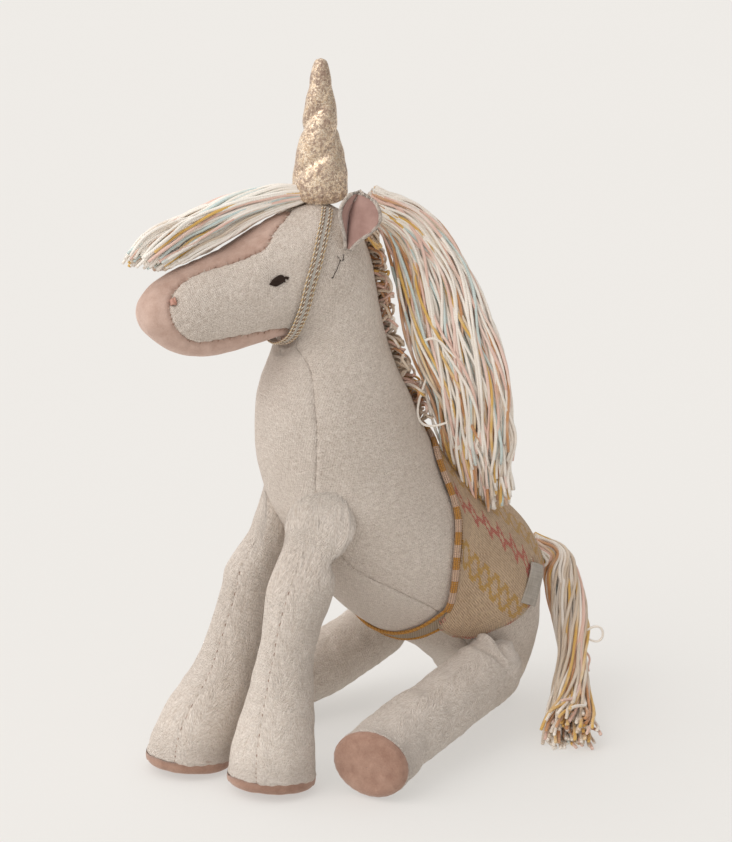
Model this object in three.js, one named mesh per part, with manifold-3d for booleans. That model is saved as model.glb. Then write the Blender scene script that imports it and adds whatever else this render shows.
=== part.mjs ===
// Seated plush unicorn: weighted linen body, four sewn-on swinging legs, velour blaze and soles,
// yarn mane and tail, strapped-on horn and a woven saddle blanket.
// Millimetres, +Z up. The animal faces -Y and its left side is +X. The origin is moved at the end
// to the middle of the bounding box at floor level.
import * as THREE from 'three';
import { mergeVertices } from 'three/addons/utils/BufferGeometryUtils.js';
import Module from 'manifold-3d';

const wasm = await Module();
wasm.setup();

// Body stations from the seat, up the neck and over the poll to the nose:
// dorsal y, dorsal z, ventral y, ventral z, half width.
const STATIONS = [
  [89, 0.0, 89, 0.0, 0],
  [98, 2.5, 80, 2.5, 12],
  [105, 11, 73, 11, 22],
  [111, 25, 63, 25, 30],
  [115.5, 46, 48, 37, 36.5],
  [117, 68, 29, 48, 40],
  [109, 90, 11, 60, 41],
  [91, 107.5, -5, 74, 41],
  [70, 122, -21, 94, 39.5],
  [53, 137, -35, 116, 37],
  [40, 154, -43.5, 140, 34],
  [30, 172, -46, 163, 31],
  [21, 190, -43.5, 184, 28.5],
  [15, 208, -39.5, 196, 26],
  [12, 227, -37, 200, 25],
  [8, 244, -35.6, 202.8, 25],
  [0, 259, -37.2, 203.6, 25.5],
  [-14, 267, -40.2, 203.1, 25.5],
  [-28, 264.5, -44.5, 202.3, 25],
  [-43, 258, -51, 201.5, 24],
  [-60, 249, -63, 200.5, 22],
  [-76, 242.5, -76, 200, 20],
  [-89, 237, -87, 201, 18],
  [-97, 231.5, -95, 204.5, 14.5],
  [-102, 225, -101.5, 211, 9],
  [-103.6, 218, -103.6, 218, 0],
];
const HEAD_YAW = THREE.MathUtils.degToRad(16);
const YAW_FROM_Z = 130;
const YAW_TO_Z = 190;
const YAW_AXIS_Y = -14;

// Seam layout on the body, in station numbers and grid columns.
const POLL_ROW = 18;
const THROAT_ROW = 15;
const MUZZLE_ROW = 22;
const COLUMNS_DORSAL = 3;
const COLUMNS_SIDE = 6;
const COLUMNS_VENTRAL = 3;

// Half widths of the blaze and of the throat-to-seat gusset: station, degrees from the middle.
const BLAZE_HALF_ANGLE = [[17, 12], [18, 12], [19, 34], [20, 35], [21, 27], [22, 34]];
const GUSSET_HALF_ANGLE = [[3, 44], [6, 54], [7, 47], [8, 33], [9.6, 34], [11, 54], [12.3, 56], [14, 34], [16, 38],
  [20, 46], [22, 46]];

const CLOTH = 0.8;
const SEAM_GAP = 0.18;
const CLEARANCE = 0.35;

// Legs: the first point is the swing centre, the last one the middle of the sole.
const FRONT_LEG_LEFT = {
  path: [[20, -34, 110], [21, -44, 88], [22, -52.5, 62], [23, -58, 40], [24.5, -63.5, 16], [25, -65, 4.6]],
  radii: [15, 12.4, 13.2, 16, 20, 20.5],
  end: [0.05, -0.12, -1],
};
const FRONT_LEG_RIGHT = {
  path: [[-20, -34, 110], [-19, -42, 88], [-19, -52, 60], [-19, -61, 38], [-20, -75, 16], [-20.5, -79, 4.6]],
  radii: [15, 12.4, 13.2, 16, 20, 20.5],
  end: [0, -0.12, -1],
};
const HIND_LEG_LEFT = {
  path: [[43, 56, 34.5], [45, 40, 30.5], [50, 14, 25], [56, -12, 20.5], [62, -30, 19.6], [65, -38, 19.4]],
  radii: [16.2, 16.2, 16.6, 17.2, 18.4, 18.6],
  end: [0.4, -0.91, -0.06],
};
const HIND_LEG_RIGHT = {
  path: [[-43, 56, 33.5], [-44, 40, 27], [-45.5, 14, 20], [-47.5, -10, 18.8], [-50, -26, 19.2], [-51, -33, 19.4]],
  radii: [16.2, 16.2, 16.6, 17.2, 18.4, 18.6],
  end: [-0.15, -0.98, -0.06],
};
const SOLE_THICK = 4.2;

// Horn, strap and ears, placed in the head's own straight-ahead position.
const HORN_BASE = [0, -14, 267.9];
const HORN_PROFILE = [[0, 0], [11.2, 0], [12.7, 4], [12.4, 12], [10.6, 21], [8.8, 32], [6.6, 44], [4.7, 56], [2.8, 62.6], [0, 64.2]];
const HORN_SKIN = 1.1;
const STRAP_LINE = [[0, 16.85], [60, 17.25], [95, 17.3], [128, 16.8], [150, 16.15], [180, 15.75]];
const STRAP_HALF = 0.21;

// Yarn bundles as flattened sweeps: centre line, half thickness across and through.
const MANE_PATH = [[3, 8, 267], [8, 24, 255], [14, 36, 232], [19, 43, 205], [24, 51, 178], [29, 56, 152], [33, 59, 130]];
const MANE_WIDE = [6, 11, 17, 20, 20, 17, 11];
const MANE_DEEP = [4, 6, 7.5, 8, 8, 7, 4];
const FORELOCK_PATH = [[-2, -27, 270], [-3, -40, 269], [-5, -55, 265], [-7, -71, 259.5], [-9, -87, 251], [-10, -97, 243.5]];
const FORELOCK_WIDE = [8, 11, 13, 13, 12, 8];
const FORELOCK_DEEP = [3, 4.4, 4.8, 4.4, 3.6, 2];
const TAIL_PATH = [[3, 121, 77], [9, 132, 69], [18, 131, 55], [30, 124, 40], [44, 114, 27], [59, 101, 16.5], [73, 88, 9.5], [83, 78, 6.6]];
const TAIL_WIDE = [4.5, 5.5, 6.5, 7, 7, 7, 8, 6];
const TAIL_DEEP = [4.5, 5.5, 6, 6.5, 6.5, 6, 6, 5];

const COLORS = {
  linen: 0xcdc2b6,
  gusset: 0xd3c6b7,
  velour: 0xbd9f8f,
  sole: 0xb48b77,
  lining: 0xb89084,
  thread: 0x3a2a22,
  fill: 0xf2efe8,
  pellets: 0xdedad0,
  gold: 0xc8ab84,
  ribbon: 0xcdb694,
  yarn: 0xe0d2ba,
  yarnMustard: 0xc99a4a,
  blanket: 0xc7ab88,
  piping: 0xd09a3c,
  girth: 0xbd9a63,
  label: 0xb5aca0,
};

const scene = new THREE.Group();
const solids = new Map();

function addMesh(name, geometry, color, roughness = 0.95, metalness = 0) {
  const material = new THREE.MeshStandardMaterial({ color, roughness, metalness });
  const mesh = new THREE.Mesh(geometry, material);
  mesh.name = name;
  scene.add(mesh);
  solids.set(name, mesh);
  return mesh;
}

// ---------------------------------------------------------------- solids from plain arrays

function geometryFrom(points, triangles) {
  const geometry = new THREE.BufferGeometry();
  const flat = new Float32Array(points.length * 3);
  points.forEach((p, i) => p.toArray(flat, i * 3));
  geometry.setAttribute('position', new THREE.BufferAttribute(flat, 3));
  geometry.setIndex(triangles.flat());
  return geometry;
}

function toManifold(geometry) {
  const bare = geometry.clone();
  bare.deleteAttribute('normal');
  bare.deleteAttribute('uv');
  const merged = mergeVertices(bare, 1e-4);
  return new wasm.Manifold(new wasm.Mesh({
    numProp: 3,
    vertProperties: new Float32Array(merged.attributes.position.array),
    triVerts: new Uint32Array(merged.index.array),
  }));
}

function fromManifold(solid) {
  const mesh = solid.getMesh();
  const geometry = new THREE.BufferGeometry();
  geometry.setAttribute('position', new THREE.BufferAttribute(new Float32Array(mesh.vertProperties), 3));
  geometry.setIndex(Array.from(mesh.triVerts));
  return geometry;
}

function largestBody(solid) {
  const bodies = solid.decompose();
  return bodies.sort((a, b) => b.volume() - a.volume())[0];
}

function carve(geometry, ...cutters) {
  let solid = toManifold(geometry);
  cutters.forEach((cutter) => {
    solid = solid.subtract(cutter);
  });
  return fromManifold(largestBody(solid));
}

function vec(a) {
  return new THREE.Vector3(a[0], a[1], a[2]);
}

// ---------------------------------------------------------------- body surface

function catmullRom(values, u) {
  const last = values.length - 1;
  const i = Math.min(Math.floor(u), last - 1);
  const t = u - i;
  const p0 = values[Math.max(i - 1, 0)];
  const p1 = values[i];
  const p2 = values[i + 1];
  const p3 = values[Math.min(i + 2, last)];
  const m1 = (p2 - p0) / 2;
  const m2 = (p3 - p1) / 2;
  const t2 = t * t;
  const t3 = t2 * t;
  return (2 * t3 - 3 * t2 + 1) * p1 + (t3 - 2 * t2 + t) * m1 + (-2 * t3 + 3 * t2) * p2 + (t3 - t2) * m2;
}

const STATION_COLUMNS = [0, 1, 2, 3, 4].map((k) => STATIONS.map((row) => row[k]));

function turnHead(point) {
  const t = THREE.MathUtils.smoothstep(point.z, YAW_FROM_Z, YAW_TO_Z);
  const c = Math.cos(HEAD_YAW * t);
  const s = -Math.sin(HEAD_YAW * t);
  const dy = point.y - YAW_AXIS_Y;
  return new THREE.Vector3(c * point.x - s * dy, YAW_AXIS_Y + s * point.x + c * dy, point.z);
}

function bodyPoint(u, angle) {
  const [dy, dz, vy, vz, w] = STATION_COLUMNS.map((column) => catmullRom(column, u));
  const c = Math.cos(angle);
  const s = Math.sin(angle);
  const y = (dy + vy) / 2 + (c * (dy - vy)) / 2;
  const z = (dz + vz) / 2 + (c * (dz - vz)) / 2;
  return turnHead(new THREE.Vector3(s * Math.max(w, 0), y, Math.max(z, 0)));
}

function bodyNormal(u, angle) {
  const e = 0.02;
  const last = STATIONS.length - 1;
  const du = bodyPoint(Math.min(u + e, last), angle).sub(bodyPoint(Math.max(u - e, 0), angle));
  const dv = bodyPoint(u, angle + e).sub(bodyPoint(u, angle - e));
  return du.cross(dv).normalize();
}

function onBody(u, angle, lift) {
  return bodyPoint(u, angle).addScaledVector(bodyNormal(u, angle), lift);
}

// Straight-line reading of a list of [position, value] pairs.
function along(pairs, x) {
  const next = pairs.findIndex((pair) => pair[0] >= x);
  if (next === 0) {
    return pairs[0][1];
  }
  if (next < 0) {
    return pairs[pairs.length - 1][1];
  }
  const [x0, y0] = pairs[next - 1];
  const [x1, y1] = pairs[next];
  return y0 + ((y1 - y0) * (x - x0)) / (x1 - x0);
}

function dorsalHalfAngle(u) {
  return THREE.MathUtils.degToRad(along(BLAZE_HALF_ANGLE, u));
}

function ventralHalfAngle(u) {
  return THREE.MathUtils.degToRad(along(GUSSET_HALF_ANGLE, u));
}

const HALF_COLUMNS = COLUMNS_DORSAL + COLUMNS_SIDE + COLUMNS_VENTRAL;
const RING = HALF_COLUMNS * 2;

function columnAngle(u, j) {
  const side = j > HALF_COLUMNS ? -1 : 1;
  const k = j > HALF_COLUMNS ? RING - j : j;
  const a = dorsalHalfAngle(u);
  const b = Math.PI - ventralHalfAngle(u);
  if (k <= COLUMNS_DORSAL) {
    return (side * a * k) / COLUMNS_DORSAL;
  }
  if (k <= COLUMNS_DORSAL + COLUMNS_SIDE) {
    return side * (a + ((b - a) * (k - COLUMNS_DORSAL)) / COLUMNS_SIDE);
  }
  return side * (b + ((Math.PI - b) * (k - COLUMNS_DORSAL - COLUMNS_SIDE)) / COLUMNS_VENTRAL);
}

const ROWS = STATIONS.length - 1;

// One closed grid of points shared by every body panel; both ends close on a single point.
function bodyGrid() {
  const points = [bodyPoint(0, 0)];
  for (let i = 1; i < ROWS; i += 1) {
    for (let j = 0; j < RING; j += 1) {
      points.push(bodyPoint(i, columnAngle(i, j)));
    }
  }
  points.push(bodyPoint(ROWS, 0));
  return points;
}

function gridIndex(i, j) {
  if (i === 0) {
    return 0;
  }
  if (i === ROWS) {
    return 1 + (ROWS - 1) * RING;
  }
  return 1 + (i - 1) * RING + (((j % RING) + RING) % RING);
}

function cellCorners(i, j) {
  return [gridIndex(i, j), gridIndex(i + 1, j), gridIndex(i + 1, j + 1), gridIndex(i, j + 1)];
}

function cellTriangles(corners) {
  const [a, b, c, d] = corners;
  const triangles = [];
  if (a !== b && b !== c && a !== c) {
    triangles.push([a, b, c]);
  }
  if (a !== c && c !== d && a !== d) {
    triangles.push([a, c, d]);
  }
  return triangles;
}

function allCells(test = () => true) {
  const cells = [];
  for (let i = 0; i < ROWS; i += 1) {
    for (let j = 0; j < RING; j += 1) {
      if (test(i, j)) {
        cells.push(cellCorners(i, j));
      }
    }
  }
  return cells;
}

function vertexNormals(points, triangles) {
  const normals = points.map(() => new THREE.Vector3());
  triangles.forEach(([a, b, c]) => {
    const n = points[b].clone().sub(points[a]).cross(points[c].clone().sub(points[a]));
    [a, b, c].forEach((k) => normals[k].add(n));
  });
  return normals.map((n) => n.normalize());
}

const GRID = bodyGrid();
const GRID_NORMALS = vertexNormals(GRID, allCells().flatMap(cellTriangles));

function gridOffset(depth) {
  return GRID.map((p, k) => p.clone().addScaledVector(GRID_NORMALS[k], -depth));
}

// Turns a patch of quads into a closed sheet of cloth, drawn in slightly at its seams.
function thicken(cells, outer, inner, gap) {
  const triangles = cells.flatMap(cellTriangles);
  const edges = new Map();
  triangles.forEach((tri) => {
    const centre = tri.reduce((sum, k) => sum.add(outer[k]), new THREE.Vector3()).divideScalar(3);
    for (let k = 0; k < 3; k += 1) {
      edges.set(`${tri[k]},${tri[(k + 1) % 3]}`, { from: tri[k], to: tri[(k + 1) % 3], centre });
    }
  });
  const rim = [...edges.values()].filter((e) => !edges.has(`${e.to},${e.from}`));
  const pull = new Map();
  rim.forEach((e) => {
    const along = outer[e.to].clone().sub(outer[e.from]).normalize();
    const inward = e.centre.clone().sub(outer[e.from]);
    inward.addScaledVector(along, -inward.dot(along)).normalize();
    [e.from, e.to].forEach((k) => {
      pull.set(k, (pull.get(k) ?? new THREE.Vector3()).add(inward));
    });
  });
  const ids = [...new Set(triangles.flat())];
  const slot = new Map(ids.map((id, k) => [id, k]));
  const moved = (source) => ids.map((id) => {
    const p = source[id].clone();
    return pull.has(id) ? p.addScaledVector(pull.get(id).clone().normalize(), gap) : p;
  });
  const points = [...moved(outer), ...moved(inner)];
  const under = ids.length;
  const faces = [];
  triangles.forEach(([a, b, c]) => {
    const [p, q, r] = [slot.get(a), slot.get(b), slot.get(c)];
    faces.push([p, q, r], [under + p, under + r, under + q]);
  });
  rim.forEach((e) => {
    const [p, q] = [slot.get(e.from), slot.get(e.to)];
    faces.push([q, p, under + p], [q, under + p, under + q]);
  });
  return geometryFrom(points, faces);
}

function bodySolid(depth, test = () => true) {
  const points = gridOffset(depth);
  const triangles = allCells(test).flatMap(cellTriangles);
  return geometryFrom(points, triangles);
}

// ---------------------------------------------------------------- sweeps

function ringPoint(frame, wide, deep, angle) {
  return frame.centre.clone()
    .addScaledVector(frame.side, wide * Math.cos(angle))
    .addScaledVector(frame.front, deep * Math.sin(angle));
}

function closeRings(rings, startPole, endPole) {
  const count = rings[0].length;
  const points = [startPole, ...rings.flat(), endPole];
  const last = points.length - 1;
  const at = (i, j) => 1 + i * count + (j % count);
  const faces = [];
  for (let j = 0; j < count; j += 1) {
    faces.push([0, at(0, j + 1), at(0, j)]);
    faces.push([last, at(rings.length - 1, j), at(rings.length - 1, j + 1)]);
    for (let i = 0; i < rings.length - 1; i += 1) {
      faces.push([at(i, j), at(i, j + 1), at(i + 1, j + 1)]);
      faces.push([at(i, j), at(i + 1, j + 1), at(i + 1, j)]);
    }
  }
  return geometryFrom(points, faces);
}

function sweepFrames(path, steps, sideHint, mapPoint) {
  const curve = new THREE.CatmullRomCurve3(path.map((p) => mapPoint(vec(p))), false, 'centripetal');
  const frames = [];
  for (let i = 0; i <= steps; i += 1) {
    const t = i / steps;
    const tangent = curve.getTangent(t);
    const side = sideHint.clone().addScaledVector(tangent, -sideHint.dot(tangent)).normalize();
    frames.push({ t, centre: curve.getPoint(t), tangent, side, front: tangent.clone().cross(side) });
  }
  return frames;
}

function bundle(path, wide, deep, sideHint, segments, steps, mapPoint = (p) => p) {
  const frames = sweepFrames(path, steps, sideHint, mapPoint);
  const scale = path.length - 1;
  const rings = frames.map((frame) => {
    const a = catmullRom(wide, frame.t * scale);
    const b = catmullRom(deep, frame.t * scale);
    return Array.from({ length: segments }, (_, k) => ringPoint(frame, a, b, (2 * Math.PI * k) / segments));
  });
  const start = frames[0].centre.clone().addScaledVector(frames[0].tangent, -deep[0] * 0.5);
  const end = frames[steps].centre.clone().addScaledVector(frames[steps].tangent, deep[deep.length - 1] * 0.5);
  return closeRings(rings, start, end);
}

// ---------------------------------------------------------------- legs

const LEG_SEGMENTS = 16;
const LEG_STEPS = 9;
const CAP_ANGLES = [90, 62, 36, 14];

// Rings of one leg from its rounded top, centred on the swing point, down to the sole plane.
function legRings(leg, inset, endLift, segments = LEG_SEGMENTS) {
  const frames = sweepFrames(leg.path, LEG_STEPS, new THREE.Vector3(1, 0, 0), (p) => p);
  const end = vec(leg.end).normalize();
  const top = frames[0];
  const radius = leg.radii[0] - inset;
  const ringOf = (frame, r) => Array.from({ length: segments }, (_, k) => (
    ringPoint(frame, r, r, (2 * Math.PI * k) / segments)));
  const rings = CAP_ANGLES.slice(1).map((degrees) => {
    const a = THREE.MathUtils.degToRad(degrees);
    const centre = top.centre.clone().addScaledVector(top.tangent, -radius * Math.sin(a));
    return ringOf({ ...top, centre }, radius * Math.cos(a));
  });
  frames.forEach((frame, i) => {
    const r = catmullRom(leg.radii, frame.t * (leg.radii.length - 1)) - inset;
    const blend = THREE.MathUtils.smoothstep(frame.t, 0.62, 1);
    const tangent = frame.tangent.clone().lerp(end, blend).normalize();
    const hint = new THREE.Vector3(1, 0, 0);
    const side = hint.addScaledVector(tangent, -hint.dot(tangent)).normalize();
    const centre = frame.centre.clone();
    if (i === LEG_STEPS) {
      centre.addScaledVector(end, -endLift);
    }
    rings.push(ringOf({ centre, side, front: tangent.clone().cross(side) }, r));
  });
  const pole = top.centre.clone().addScaledVector(top.tangent, -radius);
  return { rings, pole };
}

// The leg's cloth tube: closed over the top, open where the sole closes it.
function legSkin(leg) {
  const outer = legRings(leg, 0, 0);
  const inner = legRings(leg, CLOTH, 0);
  const chain = [...outer.rings, ...inner.rings.reverse()];
  return closeRings(chain, outer.pole, inner.pole);
}

function legFill(leg) {
  const { rings, pole } = legRings(leg, CLOTH + 0.9, 1.6, 12);
  const last = rings[rings.length - 1];
  const middle = last.reduce((sum, p) => sum.add(p), new THREE.Vector3()).divideScalar(last.length);
  return closeRings(rings, pole, middle);
}

// The padded velour sole: a low dome below the leg's open end.
function legSole(leg, flatFloor) {
  const { rings } = legRings(leg, 0, 0);
  const rim = rings[rings.length - 1];
  const centre = rim.reduce((sum, p) => sum.add(p), new THREE.Vector3()).divideScalar(rim.length);
  const end = vec(leg.end).normalize();
  const profile = [[0.86, 0.35], [0.985, 0.5], [1.0, 1.6], [0.93, 3.2], [0.74, 4.1]];
  const chain = profile.map(([scale, drop]) => rim.map((p) => {
    const q = centre.clone().lerp(p, scale).addScaledVector(end, (drop * SOLE_THICK) / 4.1);
    if (flatFloor) {
      q.z = Math.max(q.z, 0);
    }
    return q;
  }));
  const first = centre.clone().addScaledVector(end, 0.35);
  const last = centre.clone().addScaledVector(end, SOLE_THICK);
  if (flatFloor) {
    last.z = 0;
    chain[chain.length - 1].forEach((p) => {
      p.z = 0;
    });
  }
  return closeRings(chain, first, last);
}

function swingRoom(leg, radius) {
  const ball = new THREE.SphereGeometry(radius, 20, 12);
  ball.translate(...leg.path[0]);
  return toManifold(ball);
}

const LEGS = {
  front_left: FRONT_LEG_LEFT,
  front_right: FRONT_LEG_RIGHT,
  hind_left: HIND_LEG_LEFT,
  hind_right: HIND_LEG_RIGHT,
};
const ROOMS = Object.values(LEGS).map((leg) => swingRoom(leg, leg.radii[0] + CLEARANCE + 0.25));
Object.values(LEGS).forEach((leg) => {
  ROOMS.push(toManifold(legRoom(leg)));
});

function legRoom(leg) {
  const { rings, pole } = legRings(leg, -CLEARANCE, 0);
  const last = rings[rings.length - 1];
  const middle = last.reduce((sum, p) => sum.add(p), new THREE.Vector3()).divideScalar(last.length);
  return closeRings(rings, pole, middle);
}

// ---------------------------------------------------------------- body panels

const dorsalCell = (j) => j < COLUMNS_DORSAL || j >= RING - COLUMNS_DORSAL;
const ventralCell = (j) => Math.abs(j + 0.5 - HALF_COLUMNS) < COLUMNS_VENTRAL;
const isBlaze = (i, j) => i >= MUZZLE_ROW || (i >= POLL_ROW && dorsalCell(j)) || (i >= THROAT_ROW && ventralCell(j));
const isGusset = (i, j) => i < THROAT_ROW && ventralCell(j);
const isLeft = (i, j) => !isBlaze(i, j) && !isGusset(i, j) && j < HALF_COLUMNS;
const isRight = (i, j) => !isBlaze(i, j) && !isGusset(i, j) && j >= HALF_COLUMNS;

const SKIN_INNER = gridOffset(CLOTH);

function panel(name, test, color) {
  const cloth = thicken(allCells(test), GRID, SKIN_INNER, SEAM_GAP);
  return addMesh(name, carve(cloth, ...ROOMS), color);
}

panel('side_panel_left', isLeft, COLORS.linen);
panel('side_panel_right', isRight, COLORS.linen);
panel('chest_belly_gusset', isGusset, COLORS.gusset);
panel('blaze_muzzle', isBlaze, COLORS.velour);

const fillSolid = ROOMS.reduce((solid, room) => solid.subtract(room), toManifold(bodySolid(CLOTH + CLEARANCE)));
const splitNormal = new THREE.Vector3(0, -0.62, 0.78).normalize();
const splitOffset = splitNormal.dot(new THREE.Vector3(0, 62, 62));
const plane = [splitNormal.x, splitNormal.y, splitNormal.z];
addMesh('body_stuffing', fromManifold(largestBody(fillSolid.trimByPlane(plane, splitOffset + 0.2))), COLORS.fill);
addMesh('pellet_pouch', fromManifold(largestBody(fillSolid.trimByPlane(plane.map((v) => -v), -splitOffset + 0.2))),
  COLORS.pellets);


// ---------------------------------------------------------------- leg parts

Object.entries(LEGS).forEach(([name, leg]) => {
  const isFront = name.startsWith('front');
  addMesh(`${name}_leg_skin`, legSkin(leg), COLORS.linen);
  addMesh(`${name}_leg_stuffing`, legFill(leg), COLORS.fill);
  addMesh(`${name}_sole`, legSole(leg, isFront), COLORS.sole);
});

// ---------------------------------------------------------------- patches laid on the body

const BODY_OFFSETS = new Map();
function bodyCutter(lift) {
  if (!BODY_OFFSETS.has(lift)) {
    BODY_OFFSETS.set(lift, toManifold(bodySolid(-lift)));
  }
  return BODY_OFFSETS.get(lift);
}

// A sheet of rows x columns points lifted off a surface, closed into a thin solid.
function sheet(rows, columns, outerAt, innerAt, gap = 0) {
  const outer = [];
  const inner = [];
  for (let i = 0; i <= rows; i += 1) {
    for (let j = 0; j <= columns; j += 1) {
      outer.push(outerAt(i / rows, j / columns));
      inner.push(innerAt(i / rows, j / columns));
    }
  }
  const at = (i, j) => i * (columns + 1) + j;
  const cells = [];
  for (let i = 0; i < rows; i += 1) {
    for (let j = 0; j < columns; j += 1) {
      cells.push([at(i, j), at(i + 1, j), at(i + 1, j + 1), at(i, j + 1)]);
    }
  }
  const geometry = thicken(cells, outer, inner, gap);
  if (toManifold(geometry).volume() > 0) {
    return geometry;
  }
  return thicken(cells.map((cell) => cell.reverse()), outer, inner, gap);
}

function laidOnBody(rows, columns, uAt, angleAt, low, high) {
  const place = (lift) => (a, b) => onBody(uAt(a, b), angleAt(a, b), lift);
  return sheet(rows, columns, place(high), place(low));
}

// Embroidered eyes: small raised almonds on the cheeks.
function eye(sideSign) {
  const almond = (lift) => (a, b) => {
    const reach = 2 * a - 1;
    const half = 0.28 * Math.sqrt(Math.max(0.03, 1 - reach * reach));
    const u = 18.78 - 0.34 * reach;
    const angle = THREE.MathUtils.degToRad(79) + 0.03 * reach + half * 0.5 * (2 * b - 1);
    return onBody(u, sideSign * angle, lift);
  };
  return sheet(6, 3, almond(1.1), almond(0.3));
}
addMesh('eye_left', eye(1), COLORS.thread, 0.7);
addMesh('eye_right', eye(-1), COLORS.thread, 0.7);

// Nostrils: small knots of satin thread.
function nostril(sideSign) {
  const knot = new THREE.SphereGeometry(1, 10, 7);
  knot.scale(1.9, 1.9, 2.5);
  const p = onBody(22.3, sideSign * THREE.MathUtils.degToRad(54), 1.4);
  knot.translate(p.x, p.y, p.z);
  return carve(knot, bodyCutter(0.3));
}
addMesh('nostril_left', nostril(1), COLORS.lining, 0.6);
addMesh('nostril_right', nostril(-1), COLORS.lining, 0.6);

// ---------------------------------------------------------------- ears

const EAR_LENGTH = 30;
const EAR_HALF_WIDTH = 8.8;
const EAR_BASE = [21.2, -10.5, 247.5];
const EAR_UP = [0.16, 0.22, 1];
const EAR_OUT = [0.93, -0.28, 0];

function earSheet(sideSign, low, high, trim) {
  const mirror = (p) => new THREE.Vector3(p.x * sideSign, p.y, p.z);
  const up = vec(EAR_UP).normalize();
  const out = vec(EAR_OUT);
  out.addScaledVector(up, -out.dot(up)).normalize();
  const across = up.clone().cross(out);
  const place = (lift) => (a, b) => {
    const length = EAR_LENGTH * (trim + (1 - 2 * trim) * a);
    const profile = Math.sin(Math.PI * (0.12 + 0.86 * (length / EAR_LENGTH) ** 0.9)) ** 0.75;
    const side = (2 * b - 1) * (1 - trim);
    const width = (EAR_HALF_WIDTH * profile) * side;
    const cup = 0.055 * width * width;
    const p = vec(EAR_BASE)
      .addScaledVector(up, length)
      .addScaledVector(across, width)
      .addScaledVector(out, cup + lift + 1.2);
    return turnHead(mirror(p));
  };
  return sheet(7, 6, place(high), place(low));
}

[['left', 1], ['right', -1]].forEach(([label, sideSign]) => {
  const back = earSheet(sideSign, -1.4, 0, 0);
  const lining = earSheet(sideSign, 0.3, 1.2, 0.06);
  addMesh(`ear_${label}`, carve(back, bodyCutter(0.45)), COLORS.linen);
  addMesh(`ear_lining_${label}`, carve(lining, bodyCutter(0.45)), COLORS.lining);
});

// ---------------------------------------------------------------- horn and strap

function hornShell(inset, from) {
  const points = HORN_PROFILE.map(([r, z]) => new THREE.Vector2(r === 0 ? 0 : Math.max(r - inset, 0.1), z));
  const last = points.length - 1;
  points[last].y -= inset * 1.6;
  points[last - 1].y -= inset * 0.8;
  points[0].y = from;
  points[1].y = from;
  const shell = new THREE.LatheGeometry(points, 24);
  shell.rotateX(Math.PI / 2);
  const base = turnHead(vec(HORN_BASE));
  shell.translate(base.x, base.y, base.z);
  return shell;
}

const hornOuter = toManifold(hornShell(0, 0)).subtract(bodyCutter(0.4));
const hornHollow = toManifold(hornShell(HORN_SKIN, -2));
const hornFill = toManifold(hornShell(HORN_SKIN + 0.3, 0)).subtract(bodyCutter(0.8));
addMesh('horn_cover', fromManifold(largestBody(hornOuter.subtract(hornHollow))), COLORS.gold, 0.35, 0.7);
addMesh('horn_stuffing', fromManifold(largestBody(hornFill)), COLORS.fill);

// The strap runs from one side of the horn, under the jaw and back up the other side.
const strapStart = THREE.MathUtils.degToRad(24);
const strapDegrees = (a) => 24 + 312 * a;
const strapStation = (a) => along(STRAP_LINE, Math.min(strapDegrees(a), 360 - strapDegrees(a)));
const strap = laidOnBody(
  30,
  2,
  (a, b) => strapStation(a) + STRAP_HALF * (2 * b - 1),
  (a) => strapStart + (2 * Math.PI - 2 * strapStart) * a,
  0.4,
  1.3,
);
addMesh('horn_strap', carve(strap, bodyCutter(0.35)), COLORS.ribbon, 0.6, 0.2);

// ---------------------------------------------------------------- yarn

const hornCutter = toManifold(hornShell(-0.5, -1)).add(bodyCutter(0.4));
const forelockCutter = toManifold(hornShell(-2.2, -1)).add(bodyCutter(0.6));
const sideways = new THREE.Vector3(1, 0, 0);

const mane = bundle(MANE_PATH, MANE_WIDE, MANE_DEEP, new THREE.Vector3(0.75, 0.66, 0), 12, 14, turnHead);
const forelock = bundle(FORELOCK_PATH, FORELOCK_WIDE, FORELOCK_DEEP, sideways, 12, 12, turnHead);
const tail = bundle(TAIL_PATH, TAIL_WIDE, TAIL_DEEP, new THREE.Vector3(0, 0, 1), 12, 16);

// The row of yarn stitched down the back of the neck.
const crest = sheet(
  12,
  3,
  (a, b) => onBody(10.35 + 5.6 * a, (0.3 - 0.1 * a) * (2 * b - 1) + 0.02, 5.2 - 2.2 * Math.abs(2 * b - 1)),
  (a, b) => onBody(10.35 + 5.6 * a, (0.3 - 0.1 * a) * (2 * b - 1) + 0.02, 0.4),
);

// ---------------------------------------------------------------- blanket

// Edges of the blanket as stations, from the spine down to the lower corners.
const BLANKET_FRONT = [[0, 9.9], [0.35, 9.45], [0.56, 8.1], [0.78, 7.2], [1, 5.95]];
const BLANKET_REAR = [[0, 5.75], [0.5, 5.25], [0.75, 4.9], [1, 4.8]];
const BLANKET_DROP_FRONT = 127;
const BLANKET_DROP_REAR = 119;

function blanketPoint(a, b, lift) {
  const s = 2 * b - 1;
  const depth = Math.abs(s);
  const corner = 1 - 0.07 * Math.abs(2 * a - 1) ** 5;
  const drop = THREE.MathUtils.lerp(BLANKET_DROP_FRONT, BLANKET_DROP_REAR, a) * corner;
  const front = along(BLANKET_FRONT, depth);
  const rear = along(BLANKET_REAR, depth);
  const inset = 0.05 * depth ** 6;
  const t = inset + (1 - 2 * inset) * a;
  return onBody(THREE.MathUtils.lerp(front, rear, t), THREE.MathUtils.degToRad(drop) * s, lift);
}

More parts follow.
